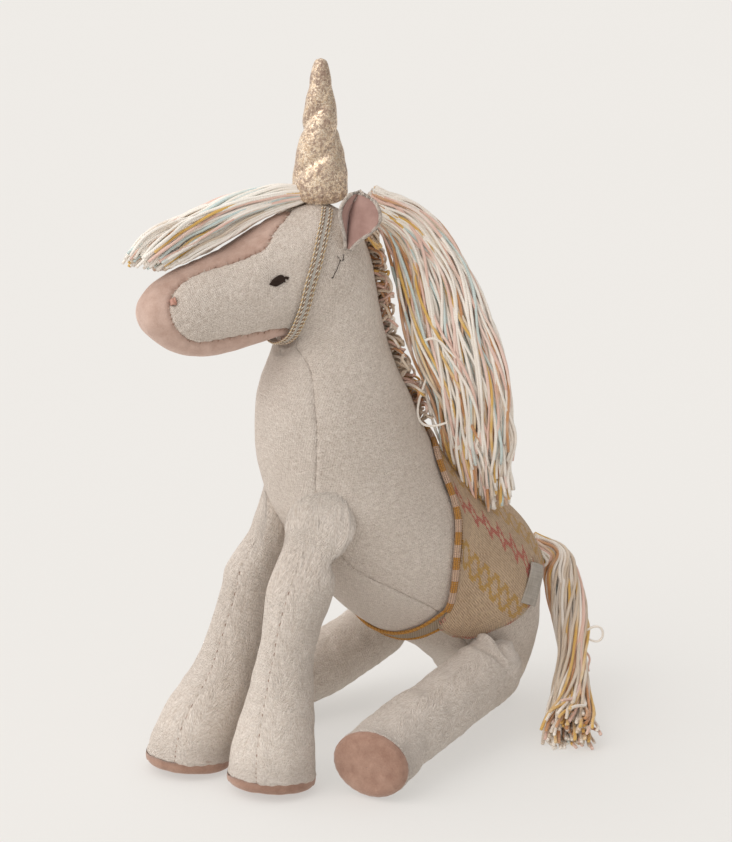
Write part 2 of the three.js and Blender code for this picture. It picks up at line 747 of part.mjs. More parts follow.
const BLANKET_LOW = 0.45;
const lining = sheet(10, 24, (a, b) => blanketPoint(0.02 + 0.96 * a, 0.01 + 0.98 * b, BLANKET_LOW + 0.7),
  (a, b) => blanketPoint(0.02 + 0.96 * a, 0.01 + 0.98 * b, BLANKET_LOW));
const blanket = sheet(10, 24, (a, b) => blanketPoint(a, b, BLANKET_LOW + 2.0),
  (a, b) => blanketPoint(a, b, BLANKET_LOW + 1.0));
const pipingAt = (lift) => (a, b) => {
  const side = 2 * b - 1;
  const u = along(BLANKET_FRONT, Math.abs(side)) + 0.07 + 0.13 * a;
  return onBody(u, THREE.MathUtils.degToRad(BLANKET_DROP_FRONT * 0.93) * side, lift);
};
const piping = sheet(1, 24, pipingAt(BLANKET_LOW + 2.4), pipingAt(BLANKET_LOW + 0.4));

// The girth band passes under the belly from one front corner of the blanket to the other.
const girthFrom = THREE.MathUtils.degToRad(131);
const girth = laidOnBody(
  12,
  3,
  (a, b) => 5.95 - 0.75 * Math.sin(Math.PI * a) + 0.23 * (2 * b - 1),
  (a) => girthFrom + (2 * Math.PI - 2 * girthFrom) * a,
  0.45,
  1.7,
);

const bodyClear = bodyCutter(0.35);
const blanketSolid = toManifold(blanket).add(toManifold(lining)).add(toManifold(piping));
addMesh('saddle_blanket', blanket, COLORS.blanket);
addMesh('blanket_lining', carve(lining, bodyClear), COLORS.gusset);
addMesh('blanket_piping', piping, COLORS.piping);
addMesh('girth_band', carve(girth, bodyClear, ...ROOMS), COLORS.girth, 0.8);

// A plain woven tab caught in the blanket's rear seam on the left side.
const labelAt = (lift) => (a, b) => onBody(4.98 - 0.3 * a, THREE.MathUtils.degToRad(52 + 24 * b), lift);
const label = sheet(2, 5, labelAt(2.6), labelAt(1.8));
addMesh('label_tab', carve(label, bodyClear, blanketSolid), COLORS.label);

addMesh('mane_tress', carve(mane, hornCutter, bodyCutter(3.2)), COLORS.yarn);
addMesh('mane_crest', carve(crest, bodyClear, toManifold(mane), hornCutter), COLORS.yarnMustard);
addMesh('forelock', carve(forelock, forelockCutter), COLORS.yarn);
addMesh('tail', carve(tail, bodyClear), COLORS.yarn);

// Put the origin at floor level under the middle of the bounding box.
const box = new THREE.Box3().setFromObject(scene);
const middle = box.getCenter(new THREE.Vector3());
scene.position.set(-middle.x, -middle.y, -box.min.z);
scene.updateMatrixWorld(true);

export default scene;
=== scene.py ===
import math

import bpy
import numpy as np
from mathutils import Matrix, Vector
from mathutils.kdtree import KDTree


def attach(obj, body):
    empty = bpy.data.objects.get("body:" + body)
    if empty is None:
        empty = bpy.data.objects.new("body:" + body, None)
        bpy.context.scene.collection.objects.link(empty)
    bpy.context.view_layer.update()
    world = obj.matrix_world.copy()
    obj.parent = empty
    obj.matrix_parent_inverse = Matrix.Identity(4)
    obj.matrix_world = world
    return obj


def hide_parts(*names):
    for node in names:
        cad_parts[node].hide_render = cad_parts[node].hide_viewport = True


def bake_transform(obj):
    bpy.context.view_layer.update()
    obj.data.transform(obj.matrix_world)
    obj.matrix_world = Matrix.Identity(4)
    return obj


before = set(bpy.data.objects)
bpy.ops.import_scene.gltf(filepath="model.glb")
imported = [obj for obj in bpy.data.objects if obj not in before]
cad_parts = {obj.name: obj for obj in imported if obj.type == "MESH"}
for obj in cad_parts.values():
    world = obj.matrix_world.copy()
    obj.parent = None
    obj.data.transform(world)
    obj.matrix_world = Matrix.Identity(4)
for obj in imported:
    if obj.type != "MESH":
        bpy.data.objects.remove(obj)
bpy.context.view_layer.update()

# Lengths are in millimetres in the maker's frame of the CAD source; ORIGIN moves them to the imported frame.
ORIGIN = np.array([-8.451, -18.834, 0.002])
MM = 0.001
TAU = 2 * math.pi
GOLDEN_ANGLE = 2.399963
UP = np.array([0, 0, 1.0])
SIDES = (("left", 1), ("right", -1))

# ---------------------------------------------------------------- body shape, as in the CAD source

STATIONS = np.array([
    [89, 0.0, 89, 0.0, 0], [98, 2.5, 80, 2.5, 12], [105, 11, 73, 11, 22], [111, 25, 63, 25, 30],
    [115.5, 46, 48, 37, 36.5], [117, 68, 29, 48, 40], [109, 90, 11, 60, 41], [91, 107.5, -5, 74, 41],
    [70, 122, -21, 94, 39.5], [53, 137, -35, 116, 37], [40, 154, -43.5, 140, 34], [30, 172, -46, 163, 31],
    [21, 190, -43.5, 184, 28.5], [15, 208, -39.5, 196, 26], [12, 227, -37, 200, 25],
    [8, 244, -35.6, 202.8, 25], [0, 259, -37.2, 203.6, 25.5], [-14, 267, -40.2, 203.1, 25.5],
    [-28, 264.5, -44.5, 202.3, 25], [-43, 258, -51, 201.5, 24], [-60, 249, -63, 200.5, 22],
    [-76, 242.5, -76, 200, 20], [-89, 237, -87, 201, 18], [-97, 231.5, -95, 204.5, 14.5],
    [-102, 225, -101.5, 211, 9], [-103.6, 218, -103.6, 218, 0],
])
HEAD_YAW = math.radians(16)
YAW_FROM_Z, YAW_TO_Z, YAW_AXIS_Y = 130, 190, -14

LEGS = {
    "front_left": dict(
        path=[[20, -34, 110], [21, -44, 88], [22, -52.5, 62], [23, -58, 40], [24.5, -63.5, 16], [25, -65, 4.6]],
        radii=[15, 12.4, 13.2, 16, 20, 20.5], end=[0.05, -0.12, -1]),
    "front_right": dict(
        path=[[-20, -34, 110], [-19, -42, 88], [-19, -52, 60], [-19, -61, 38], [-20, -75, 16], [-20.5, -79, 4.6]],
        radii=[15, 12.4, 13.2, 16, 20, 20.5], end=[0, -0.12, -1]),
    "hind_left": dict(
        path=[[43, 56, 34.5], [45, 40, 30.5], [50, 14, 25], [56, -12, 20.5], [62, -30, 19.6], [65, -38, 19.4]],
        radii=[16.2, 16.2, 16.6, 17.2, 18.4, 18.6], end=[0.4, -0.91, -0.06]),
    "hind_right": dict(
        path=[[-43, 56, 33.5], [-44, 40, 27], [-45.5, 14, 20], [-47.5, -10, 18.8], [-50, -26, 19.2],
              [-51, -33, 19.4]],
        radii=[16.2, 16.2, 16.6, 17.2, 18.4, 18.6], end=[-0.15, -0.98, -0.06]),
}
SOLE_THICK = 4.2
LEG_LENGTH = 118
CLOTH_THICK = 0.8

HORN_BASE = np.array([0, -14, 267.9])
HORN_PROFILE = [[11.2, 0], [12.7, 4], [12.4, 12], [10.6, 21], [8.8, 32], [6.6, 44], [4.7, 56], [2.8, 62.6], [0, 64.2]]
STRAP_LINE = [[0, 16.85], [60, 17.25], [95, 17.3], [128, 16.8], [150, 16.15], [180, 15.75]]

MANE_PATH = [[3, 8, 267], [8, 24, 255], [14, 36, 232], [19, 43, 205], [24, 51, 178], [29, 56, 152], [33, 59, 130]]
MANE_WIDE = [6, 11, 17, 20, 20, 17, 11]
MANE_DEEP = [4, 6, 7.5, 8, 8, 7, 4]
TAIL_PATH = [[3, 121, 77], [9, 132, 69], [18, 131, 55], [30, 124, 40], [43, 113, 27], [57, 98.5, 16.5],
             [70.5, 85, 9.5], [80, 75, 6.8]]
TAIL_WIDE = [5, 7.5, 9, 9, 6.2, 8, 9, 9]
TAIL_DEEP = [5, 7.5, 9, 9, 6.5, 9, 12, 12]
# A level direction towards the animal's left and back, in which loose threads stand off.
LEVEL_SIDE = np.array([0.643, 0.766, 0.0])
YARN_RADIUS = 0.76
MANE_STRANDS, FORELOCK_STRANDS, TAIL_STRANDS, CREST_LOOPS = 330, 230, 120, 150

EAR_BASE = np.array([21.2, -10.5, 247.5])
EAR_UP = np.array([0.16, 0.22, 1])
EAR_OUT = np.array([0.93, -0.28, 0])
EAR_LENGTH, EAR_HALF_WIDTH = 30, 8.8

BLANKET_FRONT = [[0, 9.9], [0.35, 9.45], [0.56, 8.1], [0.78, 7.2], [1, 5.95]]
BLANKET_REAR = [[0, 5.75], [0.5, 5.25], [0.75, 4.9], [1, 4.8]]
BLANKET_DROP = 131
PIPING_STEPS, PIPING_SIDES, PIPING_HALF_WIDE, PIPING_HALF_TALL = 320, 14, 1.95, 1.45
OVERLOCK_PITCH, OVERLOCK_RADIUS = 1.45, 0.36

# Seams on the body: station, degrees from the top middle. They repeat on the other side.
BLAZE_SEAM = [(18.0, -8), (18.25, 8), (18.9, 25), (19.2, 38), (19.9, 35), (21.1, 25), (21.9, 32), (22.5, 52),
              (22.6, 75), (22.35, 100), (21.5, 128), (20.6, 131), (19.9, 131), (18.3, 135), (16.7, 142),
              (15.6, 146), (14.95, 156), (14.8, 190)]
GUSSET_SEAM = [(15.7, 149), (15.0, 148.5), (14.3, 150), (13.3, 138), (12.3, 123), (11.2, 124), (10.4, 134),
               (9.6, 145), (8.1, 149), (7.1, 134), (6.0, 126), (4.5, 130), (3, 136), (-1, 136)]
# On the right of the neck the gusset reaches further round.
GUSSET_SEAM_RIGHT = [(15.7, 149), (15.0, 146), (14.3, 140), (13.3, 124), (12.3, 107), (11.2, 107), (10.4, 121),
                     (9.6, 138), (8.1, 148)] + GUSSET_SEAM[9:]


def unit(v):
    v = np.asarray(v, float)
    return v / np.maximum(np.linalg.norm(v, axis=-1, keepdims=True), 1e-9)


def catmull(table, u):
    table = np.asarray(table, float)
    u = np.asarray(u, float)
    last = len(table) - 1
    i = np.clip(np.floor(u).astype(int), 0, last - 1)
    t = u - i
    p0, p1 = table[np.maximum(i - 1, 0)], table[i]
    p2, p3 = table[i + 1], table[np.minimum(i + 2, last)]
    if table.ndim == 2:
        t = t[..., None]
    m1, m2 = (p2 - p0) / 2, (p3 - p1) / 2
    t2, t3 = t * t, t ** 3
    return (2 * t3 - 3 * t2 + 1) * p1 + (t3 - 2 * t2 + t) * m1 + (-2 * t3 + 3 * t2) * p2 + (t3 - t2) * m2


def smoothstep(x, low, high):
    t = np.clip((x - low) / (high - low), 0, 1)
    return t * t * (3 - 2 * t)


def bell(x, width):
    """1 where x is zero, fading out over about the given width."""
    return np.exp(-(x / width) ** 2)


def arc_along(points):
    """Length along a line up to each of its points."""
    return np.concatenate([[0], np.cumsum(np.linalg.norm(np.diff(points, axis=0), axis=1))])


def circle(count):
    """Angles of so many points round a circle."""
    return np.linspace(0, TAU, count, endpoint=False)


def plane(a, b):
    return np.meshgrid(a, b, indexing="ij")


def unit_plane(rows, columns):
    return plane(np.linspace(0, 1, rows), np.linspace(0, 1, columns))


def search_tree(places):
    tree = KDTree(len(places))
    for k, p in enumerate(places.tolist()):
        tree.insert(p, k)
    tree.balance()
    return tree


def turn_head(p):
    t = smoothstep(p[..., 2], YAW_FROM_Z, YAW_TO_Z)
    c, s = np.cos(HEAD_YAW * t), -np.sin(HEAD_YAW * t)
    dy = p[..., 1] - YAW_AXIS_Y
    return np.stack([c * p[..., 0] - s * dy, YAW_AXIS_Y + s * p[..., 0] + c * dy, p[..., 2]], -1)


def body_point(u, deg):
    u, deg = np.broadcast_arrays(np.asarray(u, float), np.asarray(deg, float))
    dy, dz, vy, vz, w = np.moveaxis(catmull(STATIONS, u), -1, 0)
    c, s = np.cos(np.radians(deg)), np.sin(np.radians(deg))
    y = (dy + vy) / 2 + c * (dy - vy) / 2
    z = (dz + vz) / 2 + c * (dz - vz) / 2
    return turn_head(np.stack([s * np.maximum(w, 0), y, np.maximum(z, 0)], -1))


def body_normal(u, deg):
    e, last = 0.02, len(STATIONS) - 1
    u, deg = np.broadcast_arrays(np.asarray(u, float), np.asarray(deg, float))
    u = np.clip(u, 0.03, last - 0.03)
    du = body_point(u + e, deg) - body_point(u - e, deg)
    dv = body_point(u, deg + 1.1) - body_point(u, deg - 1.1)
    return unit(np.cross(du, dv))


def on_body(u, deg, lift):
    lift = np.asarray(lift, float)
    return body_point(u, deg) + body_normal(u, deg) * lift[..., None]


def read_line(pairs, x, soften=0.0):
    xs, ys = np.array(pairs, float).T
    if not soften:
        return np.interp(x, xs, ys)
    x = np.asarray(x, float)
    return sum(np.interp(x + d, xs, ys) for d in np.linspace(-soften, soften, 9)) / 9


def ripple(points, size, seed, count=22):
    """Smooth random unevenness of about the given size, from -1 to 1, the same on every run."""
    r = np.random.default_rng(seed)
    k = unit(r.normal(size=(count, 3))) * (TAU / size) * r.uniform(0.6, 1.6, (count, 1))
    return np.sin(points @ k.T + r.uniform(0, TAU, count)).sum(-1) / math.sqrt(count * 0.5) / 2


# ---------------------------------------------------------------- making meshes

def new_object(name, data):
    obj = bpy.data.objects.new(name, data)
    bpy.context.scene.collection.objects.link(obj)
    return obj


def build(name, points, faces, material, body=None, replaces=(), uv=None, attributes=None):
    """A named mesh from points in millimetres. uv and attributes have one row for each point."""
    mesh = bpy.data.meshes.new(name)
    moved = (np.asarray(points, float) + ORIGIN) * MM
    mesh.from_pydata(moved.tolist(), [], faces if isinstance(faces, list) else faces.tolist())
    if uv is not None:
        layer = mesh.uv_layers.new(name="UVMap")
        index = np.zeros(len(mesh.loops), np.int32)
        mesh.loops.foreach_get("vertex_index", index)
        layer.data.foreach_set("uv", np.asarray(uv, np.float32)[index].ravel())
    for key, values in (attributes or {}).items():
        a = mesh.attributes.new(key, "FLOAT", "POINT")
        a.data.foreach_set("value", np.asarray(values, np.float32))
    mesh.polygons.foreach_set("use_smooth", [True] * len(mesh.polygons))
    mesh.validate()
    mesh.update()
    obj = new_object(name, mesh)
    mesh.materials.append(MAT[material])
    if body:
        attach(obj, body)
    if replaces:
        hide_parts(*replaces)
        if name in replaces:
            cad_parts[name].name = "cad_" + name
            obj.name = name
    return obj


def thicken(obj, thickness=CLOTH_THICK, offset=-1):
    mod = obj.modifiers.new("cloth_thickness", "SOLIDIFY")
    mod.thickness = thickness * MM
    mod.offset = offset
    mod.use_even_offset = False


def grid_faces(rows, columns, wrap=False):
    """Quads of a rows x columns grid of points."""
    i = np.arange(rows - 1)[:, None]
    j = np.arange(columns if wrap else columns - 1)[None, :]
    k = (j + 1) % columns
    a, b = i * columns + j, (i + 1) * columns + j
    c, d = (i + 1) * columns + k, i * columns + k
    return np.stack([a, b, c, d], -1).reshape(-1, 4)


def ring_face(first, count):
    return list(range(first, first + count))


def sheet_uv(rows, columns, wide, tall):
    a, b = unit_plane(rows, columns)
    return np.stack([b * wide, a * tall], -1).reshape(-1, 2)


def tube_mesh(paths, radius, sides=6, ply=0.0, pitch=5.0):
    """Round threads along paths (strands, points, 3); ply makes a two-strand twist of that depth."""
    p = np.asarray(paths, float)
    count, n = p.shape[:2]
    tangent = unit(np.gradient(p, axis=1))
    start = np.where(np.abs(tangent[:, :1, 2:]) > 0.8, [[[1.0, 0, 0]]], [[[0, 0, 1.0]]])[:, 0]
    normal = np.zeros_like(p)
    v = start
    for i in range(n):
        v = unit(v - (v * tangent[:, i]).sum(-1, keepdims=True) * tangent[:, i])
        normal[:, i] = v
    across = np.cross(tangent, normal)
    step = np.linalg.norm(np.diff(p, axis=1), axis=-1)
    arc = np.concatenate([np.zeros((count, 1)), np.cumsum(step, 1)], 1)
    a = circle(sides)
    turn = arc[..., None] * TAU / pitch + a
    r = np.broadcast_to(np.asarray(radius, float), (count,))[:, None, None] * (1 + ply * np.cos(2 * a))
    ring = normal[:, :, None] * (np.cos(turn) * r)[..., None] + across[:, :, None] * (np.sin(turn) * r)[..., None]
    points = (p[:, :, None] + ring).reshape(-1, 3)
    base = grid_faces(n, sides, True)
    faces = (base[None] + (np.arange(count) * n * sides)[:, None, None]).reshape(-1, 4).tolist()
    for first in range(0, count * n * sides, n * sides):
        last = first + (n - 1) * sides
        faces += [ring_face(first, sides), ring_face(last, sides)[::-1]]
    uv = np.stack([np.broadcast_to(arc[..., None], (count, n, sides)),
                   np.broadcast_to(a / TAU, (count, n, sides))], -1).reshape(-1, 2)
    strand = np.repeat(np.arange(count), n * sides)
    return points, faces, uv, strand


def thread_piece(name, paths, radius, material, body, replaces=(), slot=None, tone=None, sides=6, uv_scale=(1, 1),
                 **twist):
    """Threads along paths as one piece; tone has one number for each thread, which picks its colour."""
    points, faces, uv, strand = tube_mesh(paths, radius, sides, **twist)
    return build(name, points, faces, material, body, replaces, uv=uv * uv_scale,
                 attributes=None if tone is None else {"strand": tone[strand]})


# ---------------------------------------------------------------- materials

def srgb(r, g, b):
    def linear(c):
        c /= 255
        return c / 12.92 if c <= 0.04045 else ((c + 0.055) / 1.055) ** 2.4
    return (linear(r), linear(g), linear(b), 1)


class Finish:
    """A procedural material, with short names for the nodes it needs."""

    def __init__(self, name, rough=0.95, metallic=0.0, sheen=0.0, sheen_tint=None, specular=0.3):
        self.material = bpy.data.materials.new(name)
        self.material.use_nodes = True
        self.tree = self.material.node_tree
        self.tree.nodes.clear()
        out = self.tree.nodes.new("ShaderNodeOutputMaterial")
        self.shader = self.tree.nodes.new("ShaderNodeBsdfPrincipled")
        self.tree.links.new(self.shader.outputs[0], out.inputs[0])
        self.set("Roughness", rough)
        self.set("Metallic", metallic)
        self.set("Sheen Weight", sheen)
        self.set("Sheen Roughness", 0.5)
        self.set("Specular IOR Level", specular)
        if sheen_tint:
            self.set("Sheen Tint", sheen_tint)
        self.uv = self.node("TexCoord").outputs["UV"]
        self.position = self.node("TexCoord").outputs["Object"]

    def set(self, socket, value):
        self.put(self.shader.inputs[socket], value)

    def put(self, socket, value):
        if isinstance(value, bpy.types.NodeSocket):
            self.tree.links.new(value, socket)
        else:
            socket.default_value = value

    def node(self, kind, props=None, inputs=None):
        n = self.tree.nodes.new("ShaderNode" + kind)
        for key, value in (props or {}).items():
            setattr(n, key, value)
        for key, value in (inputs or {}).items():
            self.put(n.inputs[key], value)
        return n

    def math(self, op, a, b=0.0):
        n = self.node("Math", {"operation": op})
        self.put(n.inputs[0], a)
        self.put(n.inputs[1], b)
        return n.outputs[0]

    def mul(self, a, b):
        return self.math("MULTIPLY", a, b)

    def add(self, first, *others):
        for value in others:
            first = self.math("ADD", first, value)
        return first

    def zigzag(self, value, period):
        """A share from 0.5 at the ends of each period to 0 in its middle."""
        part = self.math("FRACT", self.mul(value, 1 / period))
        return self.math("ABSOLUTE", self.math("SUBTRACT", part, 0.5))

    def xy(self):
        n = self.node("SeparateXYZ", None, {0: self.uv})
        return n.outputs[0], n.outputs[1]

    def at(self, x, y, z=0.0):
        return self.node("CombineXYZ", None, {0: x, 1: y, 2: z}).outputs[0]

    def noise(self, vector, scale, detail=2.0, rough=0.5):
        inputs = {"Vector": vector, "Scale": scale, "Detail": detail, "Roughness": rough}
        return self.node("TexNoise", None, inputs).outputs[0]

    def spread(self, value, low, high, to_low=0.0, to_high=1.0):
        inputs = dict(enumerate((value, low, high, to_low, to_high)))
        return self.node("MapRange", {"clamp": True}, inputs).outputs[0]

    def sine(self, value, period):
        return self.math("SINE", self.mul(value, TAU / period))

    def ramp(self, value, stops, mode="LINEAR"):
        n = self.node("ValToRGB")
        n.color_ramp.interpolation = mode
        while len(n.color_ramp.elements) < len(stops):
            n.color_ramp.elements.new(0.5)
        for element, (position, color) in zip(n.color_ramp.elements, stops):
            element.position = position
            element.color = color
        self.put(n.inputs[0], value)
        return n.outputs[0]

    def mix(self, factor, a, b, mode="MIX"):
        return self.node("Mix", {"data_type": "RGBA", "blend_type": mode}, {0: factor, 6: a, 7: b}).outputs[2]

    def attribute(self, name):
        return self.node("Attribute", {"attribute_name": name}).outputs["Fac"]

    def finish(self, color, height=None, depth=0.3, strength=1.0):
        self.set("Base Color", color)
        if height is not None:
            bump = self.node("Bump", None, {"Strength": strength, "Distance": depth * MM, "Height": height})
            self.set("Normal", bump.outputs[0])
        return self.material


CREPE_PERIOD = 15.0


def woven_height(f, pitch, wobble=0.5, diagonal=0.0):
    """Plain weave over the uv in millimetres, with uneven threads: its height, its slubs, and where it is."""
    x, y = f.xy()
    shift = f.noise(f.uv, 0.35, 2.0)
    x = f.add(x, f.mul(f.math("SUBTRACT", shift, 0.5), wobble * 2))
    y = f.add(y, f.mul(f.math("SUBTRACT", f.noise(f.at(x, y, 7.0), 0.4, 2.0), 0.5), wobble * 2))
    if diagonal:
        y = f.add(y, f.mul(f.zigzag(x, CREPE_PERIOD), CREPE_PERIOD * diagonal))
    weave = f.mul(f.sine(x, pitch), f.sine(y, pitch))
    slub = f.add(f.noise(f.at(f.mul(x, 0.12), f.mul(y, 1.4)), 1.0, 3.0),
                 f.noise(f.at(f.mul(x, 1.4), f.mul(y, 0.12), 3.0), 1.0, 3.0))
    return weave, slub, x, y


def linen(name, light, dark, diagonal=0.0):
    f = Finish(name, rough=0.92, sheen=0.2, sheen_tint=srgb(255, 250, 244), specular=0.2)
    weave, slub, x, y = woven_height(f, 1.25, diagonal=diagonal)
    thread = f.add(f.noise(f.at(f.mul(x, 0.40), f.mul(y, 1.7)), 1.0, 4.0, 0.65),
                   f.noise(f.at(f.mul(x, 1.7), f.mul(y, 0.40), 4.0), 1.0, 4.0, 0.65))
    broad = f.noise(f.position, 26, 2.0)
    # The weave's hollows are painted a little darker, painted shade; the threads, broad patches and slubs make the
    # tone uneven.
    shade = f.add(f.mul(weave, 0.07), f.mul(thread, 0.8), f.mul(broad, 0.3), f.mul(slub, 0.15))
    color = f.mix(f.spread(shade, 0.86, 1.32), dark, light)
    neps = f.noise(f.at(x, y, 5.0), 1.15, 2.0, 0.7)
    color = f.mix(f.spread(neps, 0.70, 0.78, 0.0, 0.5), color, srgb(126, 100, 78))
    height = f.add(f.mul(weave, 0.35), f.mul(slub, 0.8), f.mul(thread, 1.2))
    if diagonal:
        # Crepe ridges that lean one way and then the other.
        fold = f.mul(f.zigzag(x, CREPE_PERIOD), 22.0)
        ridge = f.noise(f.at(f.mul(f.add(y, fold), 0.66), f.mul(x, 0.36), 9.0), 1.0, 3.0, 0.65)
        height = f.add(height, f.mul(ridge, 2.9))
        # Painted shade: the colour is darkened in the valleys between the ridges.
        color = f.mix(f.spread(ridge, 0.36, 0.52, 0.22, 0.0), color, srgb(206, 190, 174), "MULTIPLY")
    return f.finish(color, height, depth=0.5, strength=0.9)


def velour(name, light, dark, nap=1.5):
    f = Finish(name, rough=0.97, sheen=0.5, sheen_tint=srgb(255, 235, 225), specular=0.15)
    fine = f.noise(f.position, 1300, 3.0, 0.7)
    nap_mark = f.noise(f.position, 190, 3.0, 0.6)
    broad = f.noise(f.position, 42, 2.0)
    shade = f.add(f.mul(nap_mark, 0.6), f.mul(fine, 0.35), f.mul(broad, 0.5))
    color = f.mix(f.spread(shade, 0.5, 0.98), dark, light)
    return f.finish(color, f.add(f.mul(fine, 0.6), f.mul(nap_mark, nap)), depth=0.4, strength=0.6)


def gold_foil():
    """Gold foil that has cracked into small flakes over a brown cloth."""
    f = Finish("gold_foil_cloth", specular=0.5)
    cells = f.node("TexVoronoi", None, {"Vector": f.position, "Scale": 2300.0})
    grain = f.node("SeparateColor", None, {0: cells.outputs["Color"]})
    crackle = f.noise(f.position, 720, 4.0, 0.7)
    worn = f.noise(f.position, 120, 3.0, 0.6)
    cover = f.spread(f.add(crackle, f.mul(worn, 0.45)), 0.63, 0.76)
    base = f.mix(f.spread(f.noise(f.position, 900, 3.0), 0.35, 0.65), srgb(146, 120, 104), srgb(184, 158, 138))
    foil = f.mix(grain.outputs[0], srgb(208, 178, 146), srgb(255, 240, 218))
    color = f.mix(cover, base, foil)
    f.set("Metallic", f.mul(cover, 0.95))
    f.set("Roughness", f.spread(grain.outputs[1], 0.0, 1.0, 0.2, 0.5))
    height = f.add(f.mul(grain.outputs[2], 0.55), f.mul(crackle, 1.2))
    return f.finish(color, height, depth=0.22, strength=0.9)


def yarn(name, stops, dark=0.3):
    """Soft two-ply yarn in several colours, each strand fading to cream here and there, with painted shade in the
    grooves of its twist; dark sets how deep that shade is.
    """
    f = Finish(name, rough=0.9, sheen=0.55, sheen_tint=srgb(255, 252, 246), specular=0.2)
    x, y = f.xy()
    strand = f.attribute("strand")
    tone = f.ramp(strand, stops, "CONSTANT")
    fade = f.noise(f.at(f.mul(x, 0.045), f.mul(strand, 57.0)), 1.0, 2.0)
    tone = f.mix(f.spread(fade, 0.50, 0.74, 0.0, 0.75), tone, CREAM)
    drift = f.noise(f.at(f.mul(x, 0.05), f.mul(strand, 90.0)), 1.0, 2.0)
    ply = f.sine(f.add(f.mul(x, 0.9), f.mul(y, 2.0)), 1.0)
    fuzz = f.noise(f.position, 2400, 2.0, 0.7)
    # Painted shade: the colour is darkened in the grooves of the ply twist and unevenly along each strand, as far as
    # dark allows.
    shade = f.add(f.mul(ply, 0.12), f.mul(drift, 0.5), f.mul(fuzz, 0.35))
    color = f.mix(f.spread(shade, 0.2, 0.62, dark, 0.0), tone, srgb(222, 200, 178), "MULTIPLY")
    return f.finish(color, f.add(ply, f.mul(fuzz, 1.5)), depth=0.14, strength=0.4)


CREAM, PALE_BLUE = srgb(255, 249, 240), srgb(212, 228, 226)
MUSTARD, RUST, PINK = srgb(232, 190, 108), srgb(212, 158, 112), srgb(240, 206, 192)
TAUPE = srgb(226, 210, 190)

MAT = {}


def silky(key, dark, light, f):
    """Smooth thread with fibres along it."""
    x, y = f.xy()
    fibre = f.noise(f.at(f.mul(x, 0.6), f.mul(y, 14.0)), 1.0, 3.0)
    MAT[key] = f.finish(f.mix(fibre, dark, light), fibre, depth=0.1)


def spun(key, tones, shadow, amount, f, scale, detail=2.0, depth=0.1):
    """Thread in one of several tones, with darker fibres."""
    tone = f.ramp(f.attribute("strand"), tones, "CONSTANT")
    fibre = f.noise(f.position, scale, detail)
    MAT[key] = f.finish(f.mix(f.mul(fibre, amount), tone, shadow), fibre, depth=depth)


def knitted(key, periods, reach, dark, light, depth, f):
    """Small loops, so many millimetres across and along, with painted shade in the hollows between them."""
    x, y = f.xy()
    loops = f.mul(f.sine(x, periods[0]), f.sine(y, periods[1]))
    MAT[key] = f.finish(f.mix(f.spread(loops, *reach), dark, light), loops, depth=depth)


